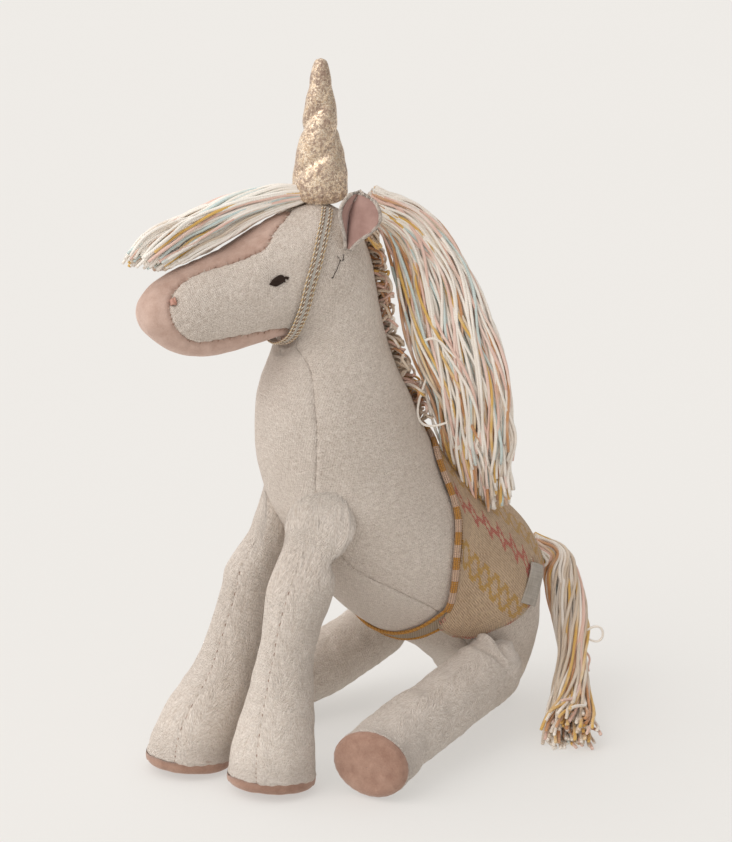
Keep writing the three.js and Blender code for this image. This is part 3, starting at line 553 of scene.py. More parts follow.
def make_materials():
    MAT["linen"] = linen("linen", srgb(240, 229, 218), srgb(190, 174, 160))
    MAT["linen_leg"] = linen("linen_leg", srgb(248, 238, 228), srgb(204, 189, 175), diagonal=0.9)
    MAT["linen_warm"] = linen("linen_warm", srgb(240, 229, 218), srgb(196, 181, 168))
    MAT["velour"] = velour("velour_mauve", srgb(204, 177, 163), srgb(170, 139, 124))
    MAT["sole"] = velour("velour_sole", srgb(182, 148, 130), srgb(142, 108, 92), nap=2.2)
    MAT["gold"] = gold_foil()
    # Copies of one yarn that differ in their tones and in how much painted shade they carry: the forelock's least,
    # then the mane's, the tail's, and the crest's most.
    MAT["yarn"] = yarn("yarn_mixed", [(0.0, CREAM), (0.50, TAUPE), (0.58, PALE_BLUE), (0.68, MUSTARD),
                                      (0.77, RUST), (0.86, PINK)])
    # The forelock's yarn: paler tones and little painted shade.
    MAT["yarn_pale"] = yarn("yarn_pale", [(0.0, CREAM), (0.60, PALE_BLUE), (0.73, TAUPE), (0.81, MUSTARD),
                                          (0.86, PINK), (0.95, RUST)], dark=0.1)
    # The tail's yarn: more mustard and rust strands, partly its own colours and partly painted shade for the tail's
    # shaded top, with more painted shade over all.
    MAT["yarn_golden_shaded"] = yarn("yarn_golden_shaded", [(0.0, CREAM), (0.30, TAUPE), (0.46, MUSTARD), (0.64, RUST),
                                              (0.82, PINK), (0.95, PALE_BLUE)], dark=0.42)
    # The crest's yarn: rust and taupe tones and a strong painted shade, for the shade behind the neck.
    MAT["shaded_crest_yarn"] = yarn("yarn_crest", [(0.0, TAUPE), (0.42, RUST), (0.56, MUSTARD), (0.68, CREAM),
                                           (0.88, PINK)], dark=0.7)

    f = Finish("ear_lining", rough=0.85, sheen=0.25, specular=0.25)
    color = f.mix(f.spread(f.noise(f.position, 150, 4.0, 0.65), 0.3, 0.7),
                  srgb(156, 122, 113), srgb(180, 146, 136))
    MAT["lining"] = f.finish(color, f.noise(f.position, 900, 3.0), depth=0.12, strength=0.5)

    silky("dark", srgb(32, 21, 15), srgb(66, 48, 38), Finish("embroidery_dark", rough=0.7, specular=0.25))
    silky("satin", srgb(176, 118, 100), srgb(216, 168, 148),
          Finish("satin_thread", rough=0.4, sheen=0.2, specular=0.5))
    spun("stitch", [(0.0, srgb(214, 188, 172)), (0.45, srgb(172, 136, 116)), (0.85, srgb(226, 214, 196))],
         srgb(120, 92, 76), 0.5, Finish("stitch_thread", rough=0.7, sheen=0.2), 1800)
    spun("ribbon_edge", [(0.0, srgb(248, 238, 220)), (0.3, srgb(218, 184, 134)), (0.6, srgb(156, 120, 88)),
                         (0.8, srgb(234, 208, 170))],
         srgb(110, 80, 56), 0.4, Finish("ribbon_edge", rough=0.4, metallic=0.35, specular=0.5), 1500)
    spun("cord", [(0.0, srgb(212, 158, 72)), (0.5, srgb(190, 132, 54)), (0.8, srgb(224, 178, 96))],
         srgb(150, 98, 40), 0.6, Finish("girth_cord", rough=0.85, sheen=0.25, specular=0.2), 1400, 3.0, 0.12)
    knitted("ribbon", (0.9, 0.8), (-0.7, 0.7), srgb(196, 184, 168), srgb(250, 246, 238), 0.3,
            Finish("ribbon_knit", rough=0.5, sheen=0.1, specular=0.5, metallic=0.25))
    knitted("girth", (1.3, 1.1), (-0.6, 0.8), srgb(140, 116, 92), srgb(208, 190, 164), 0.35,
            Finish("girth_ribbon", rough=0.9, sheen=0.2, specular=0.2))

    MAT["blanket"] = blanket_cloth()

    f = Finish("striped_piping", rough=0.9, sheen=0.25, specular=0.2)
    x, y = f.xy()
    ribs = f.sine(y, 0.1)
    stripe = f.spread(f.sine(f.add(x, f.mul(f.noise(f.uv, 0.6, 2.0), 0.8)), 12.0), -0.03, 0.03)
    color = f.mix(stripe, srgb(222, 190, 164), srgb(204, 146, 66))
    # Painted shade: darker in the grooves between the ribs, more in some places than in others.
    color = f.mix(f.spread(f.add(ribs, f.noise(f.uv, 2.2, 2.0)), -0.2, 1.3, 0.45, 0.0), color,
                  srgb(150, 98, 48), "MULTIPLY")
    MAT["piping"] = f.finish(color, f.add(ribs, f.sine(x, 1.1)), depth=0.22)

    f = Finish("label_cotton", rough=0.8, sheen=0.15, specular=0.25)
    weave, slub, x, y = woven_height(f, 0.7, wobble=0.1)
    MAT["label"] = f.finish(f.mix(f.spread(slub, 0.8, 1.2), srgb(166, 156, 144), srgb(190, 181, 170)),
                            f.add(weave, slub), depth=0.12)

    f = Finish("overlock", rough=0.9, sheen=0.25, specular=0.2)
    tone = f.ramp(f.noise(f.position, 95, 1.0), [(0.0, srgb(214, 178, 112)), (0.46, srgb(214, 196, 172)),
                                                 (0.6, srgb(206, 132, 116)), (0.66, srgb(198, 178, 152))])
    fibre = f.noise(f.position, 1500, 2.0)
    MAT["overlock"] = f.finish(f.mix(f.mul(fibre, 0.5), tone, srgb(150, 120, 92)), fibre, depth=0.12)


PINK_ROW, UPPER_ROW, LOWER_ROW = 47.5, 31.0, 72.0


def blanket_cloth():
    """Beige knit with a row of pink diamonds between two rows of mustard crosses."""
    f = Finish("woven_blanket", rough=0.95, sheen=0.25, sheen_tint=srgb(255, 240, 220), specular=0.15)
    x, y = f.xy()
    cell = 1.15
    sx = f.mul(f.math("FLOOR", f.mul(x, 1 / cell)), cell)
    sy = f.mul(f.math("FLOOR", f.mul(y, 1 / cell)), cell)
    stitch_x = f.sine(x, cell)
    stitch_y = f.sine(f.add(y, f.mul(f.math("ABSOLUTE", stitch_x), 0.35)), cell)
    knit = f.add(f.mul(stitch_x, 0.6), f.mul(stitch_y, 0.6))
    blot = f.noise(f.at(sx, sy), 0.9, 1.0)
    patch = f.noise(f.position, 60, 2.0)
    # The stitches are painted darker in their hollows, painted shade; blot and patch make the tone uneven from stitch
    # to stitch and over larger patches.
    shade = f.add(f.mul(knit, 0.42), blot, f.mul(patch, 0.4))
    ground = f.mix(f.spread(shade, 0.35, 1.15), srgb(186, 149, 119), srgb(249, 222, 188))

    def from_figure(row, pitch, start=0.0):
        """Distances in mm along and across the row from the middle of the nearest figure."""
        along = f.mul(f.zigzag(f.add(sx, start), pitch), pitch)
        return along, f.math("ABSOLUTE", f.math("SUBTRACT", sy, row))

    def under(value, limit):
        return f.math("LESS_THAN", value, limit)

    def over(value, limit):
        return f.math("GREATER_THAN", value, limit)

    thread = f.spread(f.noise(f.uv, 1.4, 2.0), 0.3, 0.5)
    px, py = from_figure(PINK_ROW, 11.5)
    ring = f.add(f.mul(px, 1.5), py)
    diamond = f.mul(f.mul(over(ring, 3.0), under(ring, 6.2)), under(py, 6.3))
    link = f.mul(under(py, 1.3), over(px, 3.4))
    color = f.mix(f.mul(f.math("MAXIMUM", diamond, link), f.mul(thread, 0.98)), ground, srgb(208, 98, 90))
    for row, reach, amount, start in ((UPPER_ROW, 5.2, 0.75, 2.0), (LOWER_ROW, 5.8, 0.9, 4.0)):
        cx, cy = from_figure(row, 9.2, start)
        gap = f.math("ABSOLUTE", f.math("SUBTRACT", cx, f.mul(cy, 0.72)))
        cross = f.mul(under(gap, 1.25), under(cy, reach))
        color = f.mix(f.mul(cross, f.mul(thread, amount)), color, srgb(208, 156, 66))
    return f.finish(color, f.add(knit, f.mul(blot, 0.8)), depth=0.5, strength=0.9)


# ---------------------------------------------------------------- camera, light and floor

CAMERA_AT = (0.8530, -0.7282, 0.4384)
LOOK_AT = (-0.0018, -0.0109, 0.1602)
LENS = 103.7
SOFT_BOX_FROM = (-0.60, -0.64, 0.48)
KEY_FROM = (-0.1, -1.0, 0.9)
FLOOR_GLOW = (0.458, 0.451, 0.436, 1)


def aim(obj, direction):
    obj.rotation_mode = "QUATERNION"
    obj.rotation_quaternion = direction.to_track_quat("-Z", "Y")


def make_stage():
    camera = new_object("camera", bpy.data.cameras.new("camera"))
    camera.location = CAMERA_AT
    aim(camera, Vector(LOOK_AT) - Vector(CAMERA_AT))
    camera.data.lens = LENS
    camera.data.sensor_width = 36
    camera.data.clip_start = 0.05
    camera.data.clip_end = 60
    bpy.context.scene.camera = camera

    bpy.context.scene.view_settings.view_transform = "Standard"
    world = bpy.data.worlds.new("studio")
    bpy.context.scene.world = world
    world.use_nodes = True
    tree = world.node_tree
    background = tree.nodes["Background"]
    background.inputs[0].default_value = srgb(250, 247, 245)
    # A very large soft box: brighter from the front left and above, darker from the other side.
    toward = tree.nodes.new("ShaderNodeVectorMath")
    toward.operation = "DOT_PRODUCT"
    tree.links.new(tree.nodes.new("ShaderNodeTexCoord").outputs["Generated"], toward.inputs[0])
    toward.inputs[1].default_value = Vector(SOFT_BOX_FROM).normalized()
    level = tree.nodes.new("ShaderNodeMapRange")
    for k, v in enumerate((-1.0, 1.0, 0.10, 1.40), 1):
        level.inputs[k].default_value = v
    tree.links.new(toward.outputs["Value"], level.inputs[0])
    tree.links.new(level.outputs[0], background.inputs[1])

    lamp = new_object("key", bpy.data.lights.new("key", "SUN"))
    lamp.data.energy = 0.75
    lamp.data.angle = math.radians(50)
    lamp.data.color = (1, 0.99, 0.97)
    aim(lamp, -Vector(KEY_FROM))

    n, radius = 96, 14.0
    ring = [(radius * math.cos(TAU * k / n), radius * math.sin(TAU * k / n), 0) for k in range(n)]
    mesh = bpy.data.meshes.new("floor")
    mesh.from_pydata(ring, [], [list(range(n))])
    floor = new_object("floor", mesh)
    floor.location.z = -0.0003
    f = Finish("floor_paper", rough=1.0, specular=0.0)
    tone = f.noise(f.position, 0.8, 2.0)
    mesh.materials.append(f.finish(f.mix(tone, (0.37, 0.36, 0.345, 1), (0.38, 0.37, 0.355, 1))))
    # A lit table top, so that only a faint shadow shows on it.
    f.shader.inputs["Emission Color"].default_value = FLOOR_GLOW
    f.shader.inputs["Emission Strength"].default_value = 1.0


# ---------------------------------------------------------------- body panels

PER_STATION = 13
COLUMNS = 256


def smooth_line(points, steps=8):
    t = np.linspace(0, len(points) - 1, (len(points) - 1) * steps + 1)
    return catmull(points, t)


def region(seam, corners):
    return np.concatenate([smooth_line(seam), np.array(corners, float)])


BLAZE_REGION = region(BLAZE_SEAM, [(27, 190), (27, -8)])
GUSSET_REGION = region(GUSSET_SEAM, [(-1, 190), (15.7, 190)])
GUSSET_REGION_RIGHT = region(GUSSET_SEAM_RIGHT, [(-1, 190), (15.7, 190)])
FIELD_SCALE = np.array([15.0, 0.45])


def inside_distance(u, deg, polygon):
    """Positive inside the outline, negative outside, near zero on it."""
    p = np.stack([u, np.abs(deg)], -1).reshape(-1, 2) * FIELD_SCALE
    a = polygon * FIELD_SCALE
    b = np.roll(a, -1, 0)
    best = np.full(len(p), 1e9)
    odd = np.zeros(len(p), bool)
    for s, e in zip(a, b):
        d = e - s
        t = np.clip(((p - s) @ d) / max(d @ d, 1e-9), 0, 1)
        best = np.minimum(best, np.linalg.norm(p - s - t[:, None] * d, axis=1))
        crosses = (s[1] > p[:, 1]) != (e[1] > p[:, 1])
        with np.errstate(divide="ignore", invalid="ignore"):
            at = s[0] + (p[:, 1] - s[1]) / (e[1] - s[1]) * d[0]
        odd ^= crosses & (p[:, 0] < at)
    return (best * np.where(odd, 1, -1)).reshape(np.shape(u))


def seam_samples():
    """Points on every seam: place, length along it and how deep it sits."""
    lines = []
    for sign in (1, -1):
        for seam, depth in ((BLAZE_SEAM, 1.15), (GUSSET_SEAM if sign > 0 else GUSSET_SEAM_RIGHT, 0.75)):
            line = smooth_line(seam, 40)
            keep = (line[:, 1] >= 0) & (line[:, 1] <= 180) & (line[:, 0] >= 0.05)
            lines.append((line[keep, 0], sign * line[keep, 1], depth))
    u = np.linspace(0.1, 18.1, 900)
    lines.append((u, np.zeros_like(u), 0.75))
    places = [body_point(u, deg) for u, deg, _ in lines]
    depths = [np.full(len(u), depth) for u, _, depth in lines]
    return np.concatenate(places), np.concatenate([arc_along(p) for p in places]), np.concatenate(depths), lines


SEAM_AT, SEAM_LENGTH, SEAM_DEPTH, SEAM_LINES = seam_samples()
SEAM_TREE = search_tree(SEAM_AT)

# Drawn-in places: station, degrees, depth and width in mm, the same on both sides.
DIMPLES = [(body_point(u, sign * deg), depth, size)
           for u, deg, depth, size in ((18.8, 79, 1.3, 7.0), (22.3, 54, 1.1, 4.0), (16.2, 66, 1.4, 6.0),
                                       (20.4, 112, 0.8, 12.0), (22.6, 180, 1.2, 16.0), (12.9, 180, 1.5, 15.0))
           for sign in (1, -1)]


def skin_shape(u, deg):
    """The body cloth's outer surface with seam grooves, puckers and soft lumps."""
    base = body_point(u, deg)
    normal = body_normal(u, deg)
    flat = base.reshape(-1, 3)
    near = [SEAM_TREE.find(p)[1:] for p in flat.tolist()]
    index = np.array([n[0] for n in near])
    distance = np.array([n[1] for n in near])
    along, depth = SEAM_LENGTH[index], SEAM_DEPTH[index]
    groove = -depth * bell(distance, 0.95) - 0.45 * depth * bell(distance, 4.5)
    pucker = np.sin(TAU * along / 6.3 + 1.7 * np.sin(along / 9)) * bell(distance, 5.5)
    pucker *= 0.22 + 0.14 * ripple(flat, 40, 5)
    lumps = 0.8 * ripple(flat, 75, 1) + 0.34 * ripple(flat, 26, 2) + 0.12 * ripple(flat, 11, 3)
    height = groove + pucker + lumps * smoothstep(distance, 0, 6)
    for centre, deep, size in DIMPLES:
        height -= deep * bell(np.linalg.norm(flat - centre, axis=1), size)
    return base + normal * height.reshape(u.shape)[..., None]


def body_lengths():
    u = np.linspace(0, 25, 251)
    deg = np.linspace(-180, 180, 97)
    p = body_point(u[:, None], deg[None])
    around = np.linalg.norm(np.diff(p, axis=1), axis=-1).sum(1)
    middle = (body_point(u, 90 + 0 * u) + body_point(u, -90 + 0 * u)) / 2
    arc = arc_along(middle)
    return u, arc, around


LENGTH_U, LENGTH_ARC, LENGTH_AROUND = body_lengths()


def body_uv(u, deg):
    arc = np.interp(u, LENGTH_U, LENGTH_ARC)
    around = np.interp(u, LENGTH_U, LENGTH_AROUND)
    return np.stack([np.abs(deg) / 360 * around, arc], -1)


def cut_panel(name, field, columns, material, replaces):
    """The part of the body grid where field is positive, cut cleanly along its edge."""
    rows = (len(STATIONS) - 1) * PER_STATION + 1
    u_row = np.linspace(0, len(STATIONS) - 1, rows)
    deg_col = np.linspace(-180, 180, COLUMNS + 1)
    u, deg = plane(u_row, deg_col)
    value = field(u, deg)
    value[np.abs(value) < 0.04] = 0
    params, index, faces = [], {}, []

    def vertex(key, pu, pd):
        if key not in index:
            index[key] = len(params)
            params.append((pu, pd))
        return index[key]

    def corner(i, j):
        if i in (0, rows - 1):
            return vertex(("pole", i), u_row[i], 90.0 if columns[0] >= 0 else -90.0)
        wrapped = -180.0 if j == COLUMNS and -180 in columns and 180 in columns else deg_col[j]
        return vertex((i, 0 if wrapped == -180.0 and j == COLUMNS else j), u_row[i], wrapped)

    def crossing(i0, j0, i1, j1):
        if (i0, j0) > (i1, j1):
            i0, j0, i1, j1 = i1, j1, i0, j0
        a, b = value[i0, j0], value[i1, j1]
        t = a / (a - b)
        key = ("cut", i0, j0 % COLUMNS, i1, j1 % COLUMNS)
        return vertex(key, u_row[i0] + t * (u_row[i1] - u_row[i0]), deg_col[j0] + t * (deg_col[j1] - deg_col[j0]))

    low = np.searchsorted(deg_col, columns[0] - 1e-6)
    high = np.searchsorted(deg_col, columns[1] - 1e-6)
    for i in range(rows - 1):
        for j in range(low, high):
            corners = [(i, j), (i + 1, j), (i + 1, j + 1), (i, j + 1)]
            values = [value[c] for c in corners]
            if max(values) <= 0:
                continue
            face = []
            for k in range(4):
                here, there = corners[k], corners[(k + 1) % 4]
                a, b = values[k], values[(k + 1) % 4]
                if a >= 0:
                    face.append(corner(*here))
                if (a > 0 > b) or (a < 0 < b):
                    face.append(crossing(*here, *there))
            clean = [v for k, v in enumerate(face) if v != face[k - 1]]
            if len(set(clean)) >= 3:
                faces.append(clean)
    pu, pd = np.array(params).T
    points = skin_shape(pu, pd)
    obj = build(name, points, faces, material, "torso", replaces, uv=body_uv(pu, pd))
    thicken(obj)
    return obj


def make_body():
    def blaze(u, deg):
        return inside_distance(u, deg, BLAZE_REGION)

    def belly(u, deg):
        left, right = inside_distance(u, deg, GUSSET_REGION), inside_distance(u, deg, GUSSET_REGION_RIGHT)
        return np.where(deg > 0, left, right)

    def gusset(u, deg):
        return np.minimum(belly(u, deg), -blaze(u, deg))

    def side(u, deg):
        return -np.maximum(blaze(u, deg), belly(u, deg))

    cut_panel("side_panel_left", side, (0, 180), "linen", ["side_panel_left", "body_stuffing"])
    cut_panel("side_panel_right", side, (-180, 0), "linen", ["side_panel_right", "pellet_pouch"])
    cut_panel("chest_belly_gusset", gusset, (-180, 180), "linen_warm", ["chest_belly_gusset"])
    cut_panel("blaze_muzzle", blaze, (-180, 180), "velour", ["blaze_muzzle"])


# ---------------------------------------------------------------- legs

def centripetal(path, t):
    """The same curve through path as the CAD source uses, at t from 0 to 1."""
    p = np.asarray(path, float)
    last = len(p) - 1
    x = np.clip(np.asarray(t, float), 0, 1) * last
    i = np.clip(np.floor(x).astype(int), 0, last - 1)
    w = (x - i)[..., None]
    ext = np.concatenate([[2 * p[0] - p[1]], p, [2 * p[-1] - p[-2]]])
    p0, p1, p2, p3 = ext[i], ext[i + 1], ext[i + 2], ext[i + 3]

    def knot(a, b):
        return np.maximum(((a - b) ** 2).sum(-1, keepdims=True) ** 0.25, 1e-4)

    d0, d1, d2 = knot(p0, p1), knot(p1, p2), knot(p2, p3)
    t1 = ((p1 - p0) / d0 - (p2 - p0) / (d0 + d1) + (p2 - p1) / d1) * d1
    t2 = ((p2 - p1) / d1 - (p3 - p1) / (d1 + d2) + (p3 - p2) / d2) * d1
    c2, c3 = -3 * p1 + 3 * p2 - 2 * t1 - t2, 2 * p1 - 2 * p2 + t1 + t2
    return p1 + t1 * w + c2 * w ** 2 + c3 * w ** 3


def curve_frames(path, t, hint, mapping=None):
    points = np.asarray(path, float)
    if mapping:
        points = mapping(points)
    e = 1e-3
    centre = centripetal(points, t)
    tangent = unit(centripetal(points, np.minimum(t + e, 1)) - centripetal(points, np.maximum(t - e, 0)))
    side = unit(np.asarray(hint, float) - (tangent @ np.asarray(hint, float))[..., None] * tangent)
    return centre, tangent, side, np.cross(tangent, side)


def leg_surface(leg, s, phi, inset=0.0):
    """Outer surface of a leg; s runs from -1 at the top of its rounded end to 1 at the sole."""
    s, phi = np.broadcast_arrays(np.asarray(s, float), np.asarray(phi, float))
    t = np.clip(s, 0, 1)
    centre, tangent = curve_frames(leg["path"], t, [1, 0, 0])[:2]
    radius = catmull(leg["radii"], t * (len(leg["radii"]) - 1)) - inset
    lean = smoothstep(t, 0.62, 1)[..., None]
    tangent2 = unit(tangent * (1 - lean) + unit(leg["end"]) * lean)
    hint = np.array([1.0, 0, 0])
    side = unit(hint - (tangent2 @ hint)[..., None] * tangent2)
    front = np.cross(tangent2, side)
    cap = np.radians(90) * np.clip(-s, 0, 1)
    reach = 30.0 if leg["end"][2] < -0.5 else radius
    centre = centre - tangent * (reach * np.sin(cap))[..., None]
    ring = side * np.cos(phi)[..., None] + front * np.sin(phi)[..., None]
    point = centre + ring * (radius * np.cos(cap))[..., None]
    normal = unit(ring * np.cos(cap)[..., None] - tangent2 * np.sin(cap)[..., None])
    return point, normal


# Folds and swellings on the legs: s, degrees round the leg, height, reach along in mm, reach round in mm.
LEG_FOLDS = {
    "front_left": [(0.055, -62, -6.5, 4.5, 13), (0.2, 128, 3.4, 22, 12), (-0.12, -50, 3.4, 7, 12),
                   (0.20, -50, 2.2, 8, 11), (0.02, 95, -2.2, 7, 10), (0.28, 60, 1.0, 9, 12),
                   (0.42, -20, -0.9, 7, 14), (0.36, 150, -1.2, 8, 12), (0.62, 20, 0.7, 10, 14)],
    "front_right": [(0.10, 200, -2.6, 6, 12), (0.3, 30, -1.2, 8, 14), (0.18, 40, 1.2, 8, 10),
                    (0.48, 120, -0.9, 9, 12), (0.7, 30, 0.7, 12, 14)],
    "hind_left": [(-0.42, 92, -5.5, 3.4, 6), (-0.22, 62, -4.2, 3.0, 7), (-0.30, 118, 2.6, 3.4, 6),
                  (-0.06, 84, 2.2, 4.0, 9), (-0.62, 70, 2.0, 4.0, 7), (0.05, 60, -2.4, 2.6, 9),
                  (0.12, 95, 1.2, 5, 10), (0.42, 100, -1.6, 6, 14), (0.52, 40, 0.9, 9, 12),
                  (0.62, -30, -1.4, 7, 13), (0.34, 0, 0.8, 10, 12)],
    "hind_right": [(-0.3, 90, -3.0, 4, 8), (0.1, 60, 1.2, 6, 9), (0.5, 60, -1.4, 7, 14), (0.66, -30, 0.9, 9, 12)],
}
LEG_SEAM_DEG = {"front": (62, 242), "hind": (-58, 122)}


def leg_shape(name, s, phi, sunk=False):
    """A leg's cloth with folds, gathers, seams and hem; sunk draws a front leg's top in to the chest."""
    point, normal = leg_surface(LEGS[name], s, phi)
    flat = point.reshape(-1, 3)
    around = np.degrees(phi)
    height = 0.5 * ripple(flat, 38, 11) + 0.26 * ripple(flat, 15, 12)
    height = height.reshape(point.shape[:-1])
    for at, deg, tall, reach, wide in LEG_FOLDS[name]:
        along = (s - at) * np.where(s < 0, 26, LEG_LENGTH)
        across = np.radians((around - deg + 180) % 360 - 180) * 15
        wobble = 1.6 * np.sin(across / 5.0 + deg)
        height = height + tall * np.exp(-((along + wobble) / reach) ** 2 - (across / wide) ** 2)
    top = smoothstep(-s, -0.35, 0.9)
    gather = np.sin(np.radians(around) * 13 + 2.0 * np.sin(np.radians(around) * 3))
    height = height + 0.42 * gather * top * (1 - smoothstep(-s, 0.75, 1))
    for deg in LEG_SEAM_DEG[name.split("_")[0]]:
        across = np.radians((around - deg - 6 * np.sin(s * 4) + 180) % 360 - 180) * 16
        height = height - 0.55 * bell(across, 0.8) * smoothstep(s, 0.0, 0.1)
        pucker = np.sin(TAU * s * LEG_LENGTH / 6.0) * bell(across, 4.0)
        height = height + 0.12 * pucker
    hem = smoothstep(s, 0.955, 1.0)
    height = height - 1.0 * hem + 0.5 * bell(s - 0.95, 0.02)
    height = height + 0.18 * np.sin(np.radians(around) * 22) * smoothstep(s, 0.9, 0.99)
    moved = point + normal * height[..., None]
    if name.startswith("front"):
        moved = sink_into_chest(moved) if sunk else moved
        moved[..., 2] = np.maximum(moved[..., 2], 0.4)
    else:
        moved[..., 2] = np.maximum(moved[..., 2] * (1 - 0.15 * smoothstep(s, 0.5, 0.95)), 0.25)
    return moved


def body_samples():
    """Places and outward directions on the chest and shoulders, with a tree to look them up in."""
    u, deg = plane(np.linspace(3, 13, 161), np.linspace(-180, 178, 180))
    places, normals = body_point(u, deg).reshape(-1, 3), body_normal(u, deg).reshape(-1, 3)
    return places, normals, search_tree(places)


CHEST_AT, CHEST_OUT, CHEST_TREE = body_samples()
# Heights in mm between which the front legs start to be drawn in to the chest, and where they end.
DRAWN_IN_FROM, DRAWN_IN_FULLY, LEG_TOP = 90, 106, 130


def sink_into_chest(points):
    """Lets the top of a front leg stand out less and less from the chest as it goes up."""
    flat = points.reshape(-1, 3)
    high = np.nonzero(flat[:, 2] > DRAWN_IN_FROM)[0]
    index = np.array([CHEST_TREE.find(p)[1] for p in flat[high].tolist()])
    normal = CHEST_OUT[index]
    out = ((flat[high] - CHEST_AT[index]) * normal).sum(-1)
    z = flat[high, 2]
    most = 26.0 * (np.clip(LEG_TOP - z, 0, 60) / 42) ** 1.3 - 0.2
    flat[high] -= normal * (np.maximum(out - most, 0) * smoothstep(z, DRAWN_IN_FROM, DRAWN_IN_FULLY))[:, None]
    return flat.reshape(points.shape)


def make_legs():
    columns = 112
    s = np.concatenate([-np.cos(np.linspace(0, math.pi / 2, 22))[:-1], np.linspace(0, 1, 100)])
    s[0] = -0.999
    for name in LEGS:
        phi = circle(columns)
        grid_s, grid_phi = plane(s, phi)
        points = leg_shape(name, grid_s, grid_phi, True).reshape(-1, 3)
        faces = grid_faces(len(s), columns, True)[:, ::-1].tolist()
        faces.append(ring_face(0, columns))
        tall = np.where(grid_s < 0, grid_s * 24, grid_s * LEG_LENGTH)
        uv = np.stack([np.abs(grid_phi - math.pi) * 15.5, tall], -1).reshape(-1, 2)
        skin = build(f"{name}_leg_skin", points, faces, "linen_leg", f"{name}_leg",
                     [f"{name}_leg_skin", f"{name}_leg_stuffing"], uv=uv)
        thicken(skin)
        make_sole(name, columns)
        make_leg_stitches(name)


def make_sole(name, columns):
    leg = LEGS[name]
    phi = circle(columns)
    rim = leg_surface(leg, np.ones(columns), phi, 0.45)[0]
    centre = rim.mean(0)
    end = unit(leg["end"])
    rim_alpha = np.linspace(0, math.radians(60), 16)
    scale = np.concatenate([np.cos(rim_alpha) ** 0.42, np.linspace(0.72, 0.01, 22)])
    alpha = np.arccos(np.clip(scale ** (1 / 0.42), 0, 1))
    drop = np.sin(alpha) ** 0.62
    rows = len(scale)
    points = centre + (rim - centre)[None] * scale[:, None, None] + end * (drop * SOLE_THICK)[:, None, None]
    # The velour is turned up over the hem of the leg, further in some places than in others.
    turned = (2.6 + 0.9 * np.sin(2 * phi + 1) + 0.5 * np.sin(5 * phi)) * (1 if name.startswith("front") else 0.25)
    points[0] += (rim - centre) * 0.028 - end * turned[:, None]
    points[1] += (rim - centre) * 0.034 - end * 1.1
    points[2] += (rim - centre) * 0.028
    flat = points.reshape(-1, 3)
    bulge = 0.35 * ripple(flat, 24, 31) + 0.16 * ripple(flat, 9, 32)
    stitch = 0.16 * np.sin(phi * 26)[None] * bell(alpha - 0.1, 0.22)[:, None]
    weight = np.sin(np.minimum(alpha * 1.2, math.pi / 2))[:, None]
    points = points + end * (bulge.reshape(rows, columns) * weight * 1.2 + stitch)[..., None]
    if name.startswith("front"):
        points[..., 2] = np.maximum(points[..., 2], 0.0)
    else:
        points[..., 2] *= 0.85
    uv = points.reshape(-1, 3)[:, :2]
    faces = grid_faces(rows, columns, True)[:, ::-1].tolist()
    faces += [ring_face((rows - 1) * columns, columns)[::-1], ring_face(0, columns)]
    sole = build(f"{name}_sole", points.reshape(-1, 3), faces, "sole", f"{name}_leg", [f"{name}_sole"],
                 uv=uv)


def make_leg_stitches(name):
    """Short hand stitches that show along the leg's front seam."""
    front_deg = LEG_SEAM_DEG[name.split("_")[0]][0]
    paths = []
    for s0 in np.arange(0.16, 0.95, 0.034):
        s = s0 + np.linspace(0, 0.011, 4)
        phi = np.radians(front_deg + 6 * np.sin(s * 4)) + 0 * s
        p = leg_shape(name, s[None], phi[None])[0]
        n = leg_surface(LEGS[name], s, phi)[1]
        paths.append(p + n * np.array([-0.02, 0.22, 0.22, -0.02])[:, None])
    tone = np.random.default_rng(41).uniform(0, 1, len(paths)) * 0.9
    thread_piece(f"{name}_stitches", paths, 0.2, "stitch", f"{name}_leg", tone=tone, sides=5)


# ---------------------------------------------------------------- face

def patch_point(u0, deg0, x, y, lift, tilt=0.0):
    """A point x mm towards the tail and y mm up from a place on the body, turned by tilt degrees."""
    x, y = np.asarray(x, float), np.asarray(y, float)
    c, t = math.cos(math.radians(tilt)), math.sin(math.radians(tilt))
    x, y = c * x - t * y, t * x + c * y
    e = 0.05
    step_u = np.linalg.norm(body_point(u0 + e, deg0) - body_point(u0 - e, deg0)) / (2 * e)
    step_d = np.linalg.norm(body_point(u0, deg0 + 1) - body_point(u0, deg0 - 1)) / 2
    sign = 1 if deg0 > 0 else -1
    u, deg = u0 - np.asarray(x) / step_u, deg0 - sign * np.asarray(y) / step_d
    base = skin_shape(np.atleast_1d(u), np.atleast_1d(deg))
    return base + body_normal(np.atleast_1d(u), np.atleast_1d(deg)) * np.atleast_1d(lift)[:, None]


EYE_AT, EYE_TILT = (18.78, 79), -24
NOSTRIL_AT = (22.3, 54)
EAR_STITCHES_AT = (16.2, 66)


def make_eyes():
    """Embroidered almonds of dark satin stitches, with a small lash at the outer corner."""
    for label, sign in SIDES:
        at = EYE_AT[0], sign * EYE_AT[1]
        paths = []
        k = np.linspace(0, 1, 9)
        for x in np.linspace(-4.3, 3.2, 21):
            t = (x + 4.3) / 7.5
            top = -1.1 + 3.2 * math.sin(math.pi * min(t * 0.9 + 0.08, 1)) ** 0.8
            low = -1.9 - 0.9 * math.sin(math.pi * t) + 1.6 * max(t - 0.55, 0) * 2
            paths.append(patch_point(*at, x + 0.5 * (k - 0.5), low + (top - low) * k,
                                     0.25 + 0.75 * np.sin(math.pi * k), EYE_TILT))
        for j in range(3):
            y = 1.15 - 0.28 * j + 0.35 * np.sin(2.6 * k) - 0.35 * k
            paths.append(patch_point(*at, 2.0 + 2.9 * k, y, 0.7 - 0.4 * k, EYE_TILT))
        thread_piece(f"eye_{label}", paths, 0.34, "dark", "torso", [f"eye_{label}"], "embroidery_dark")


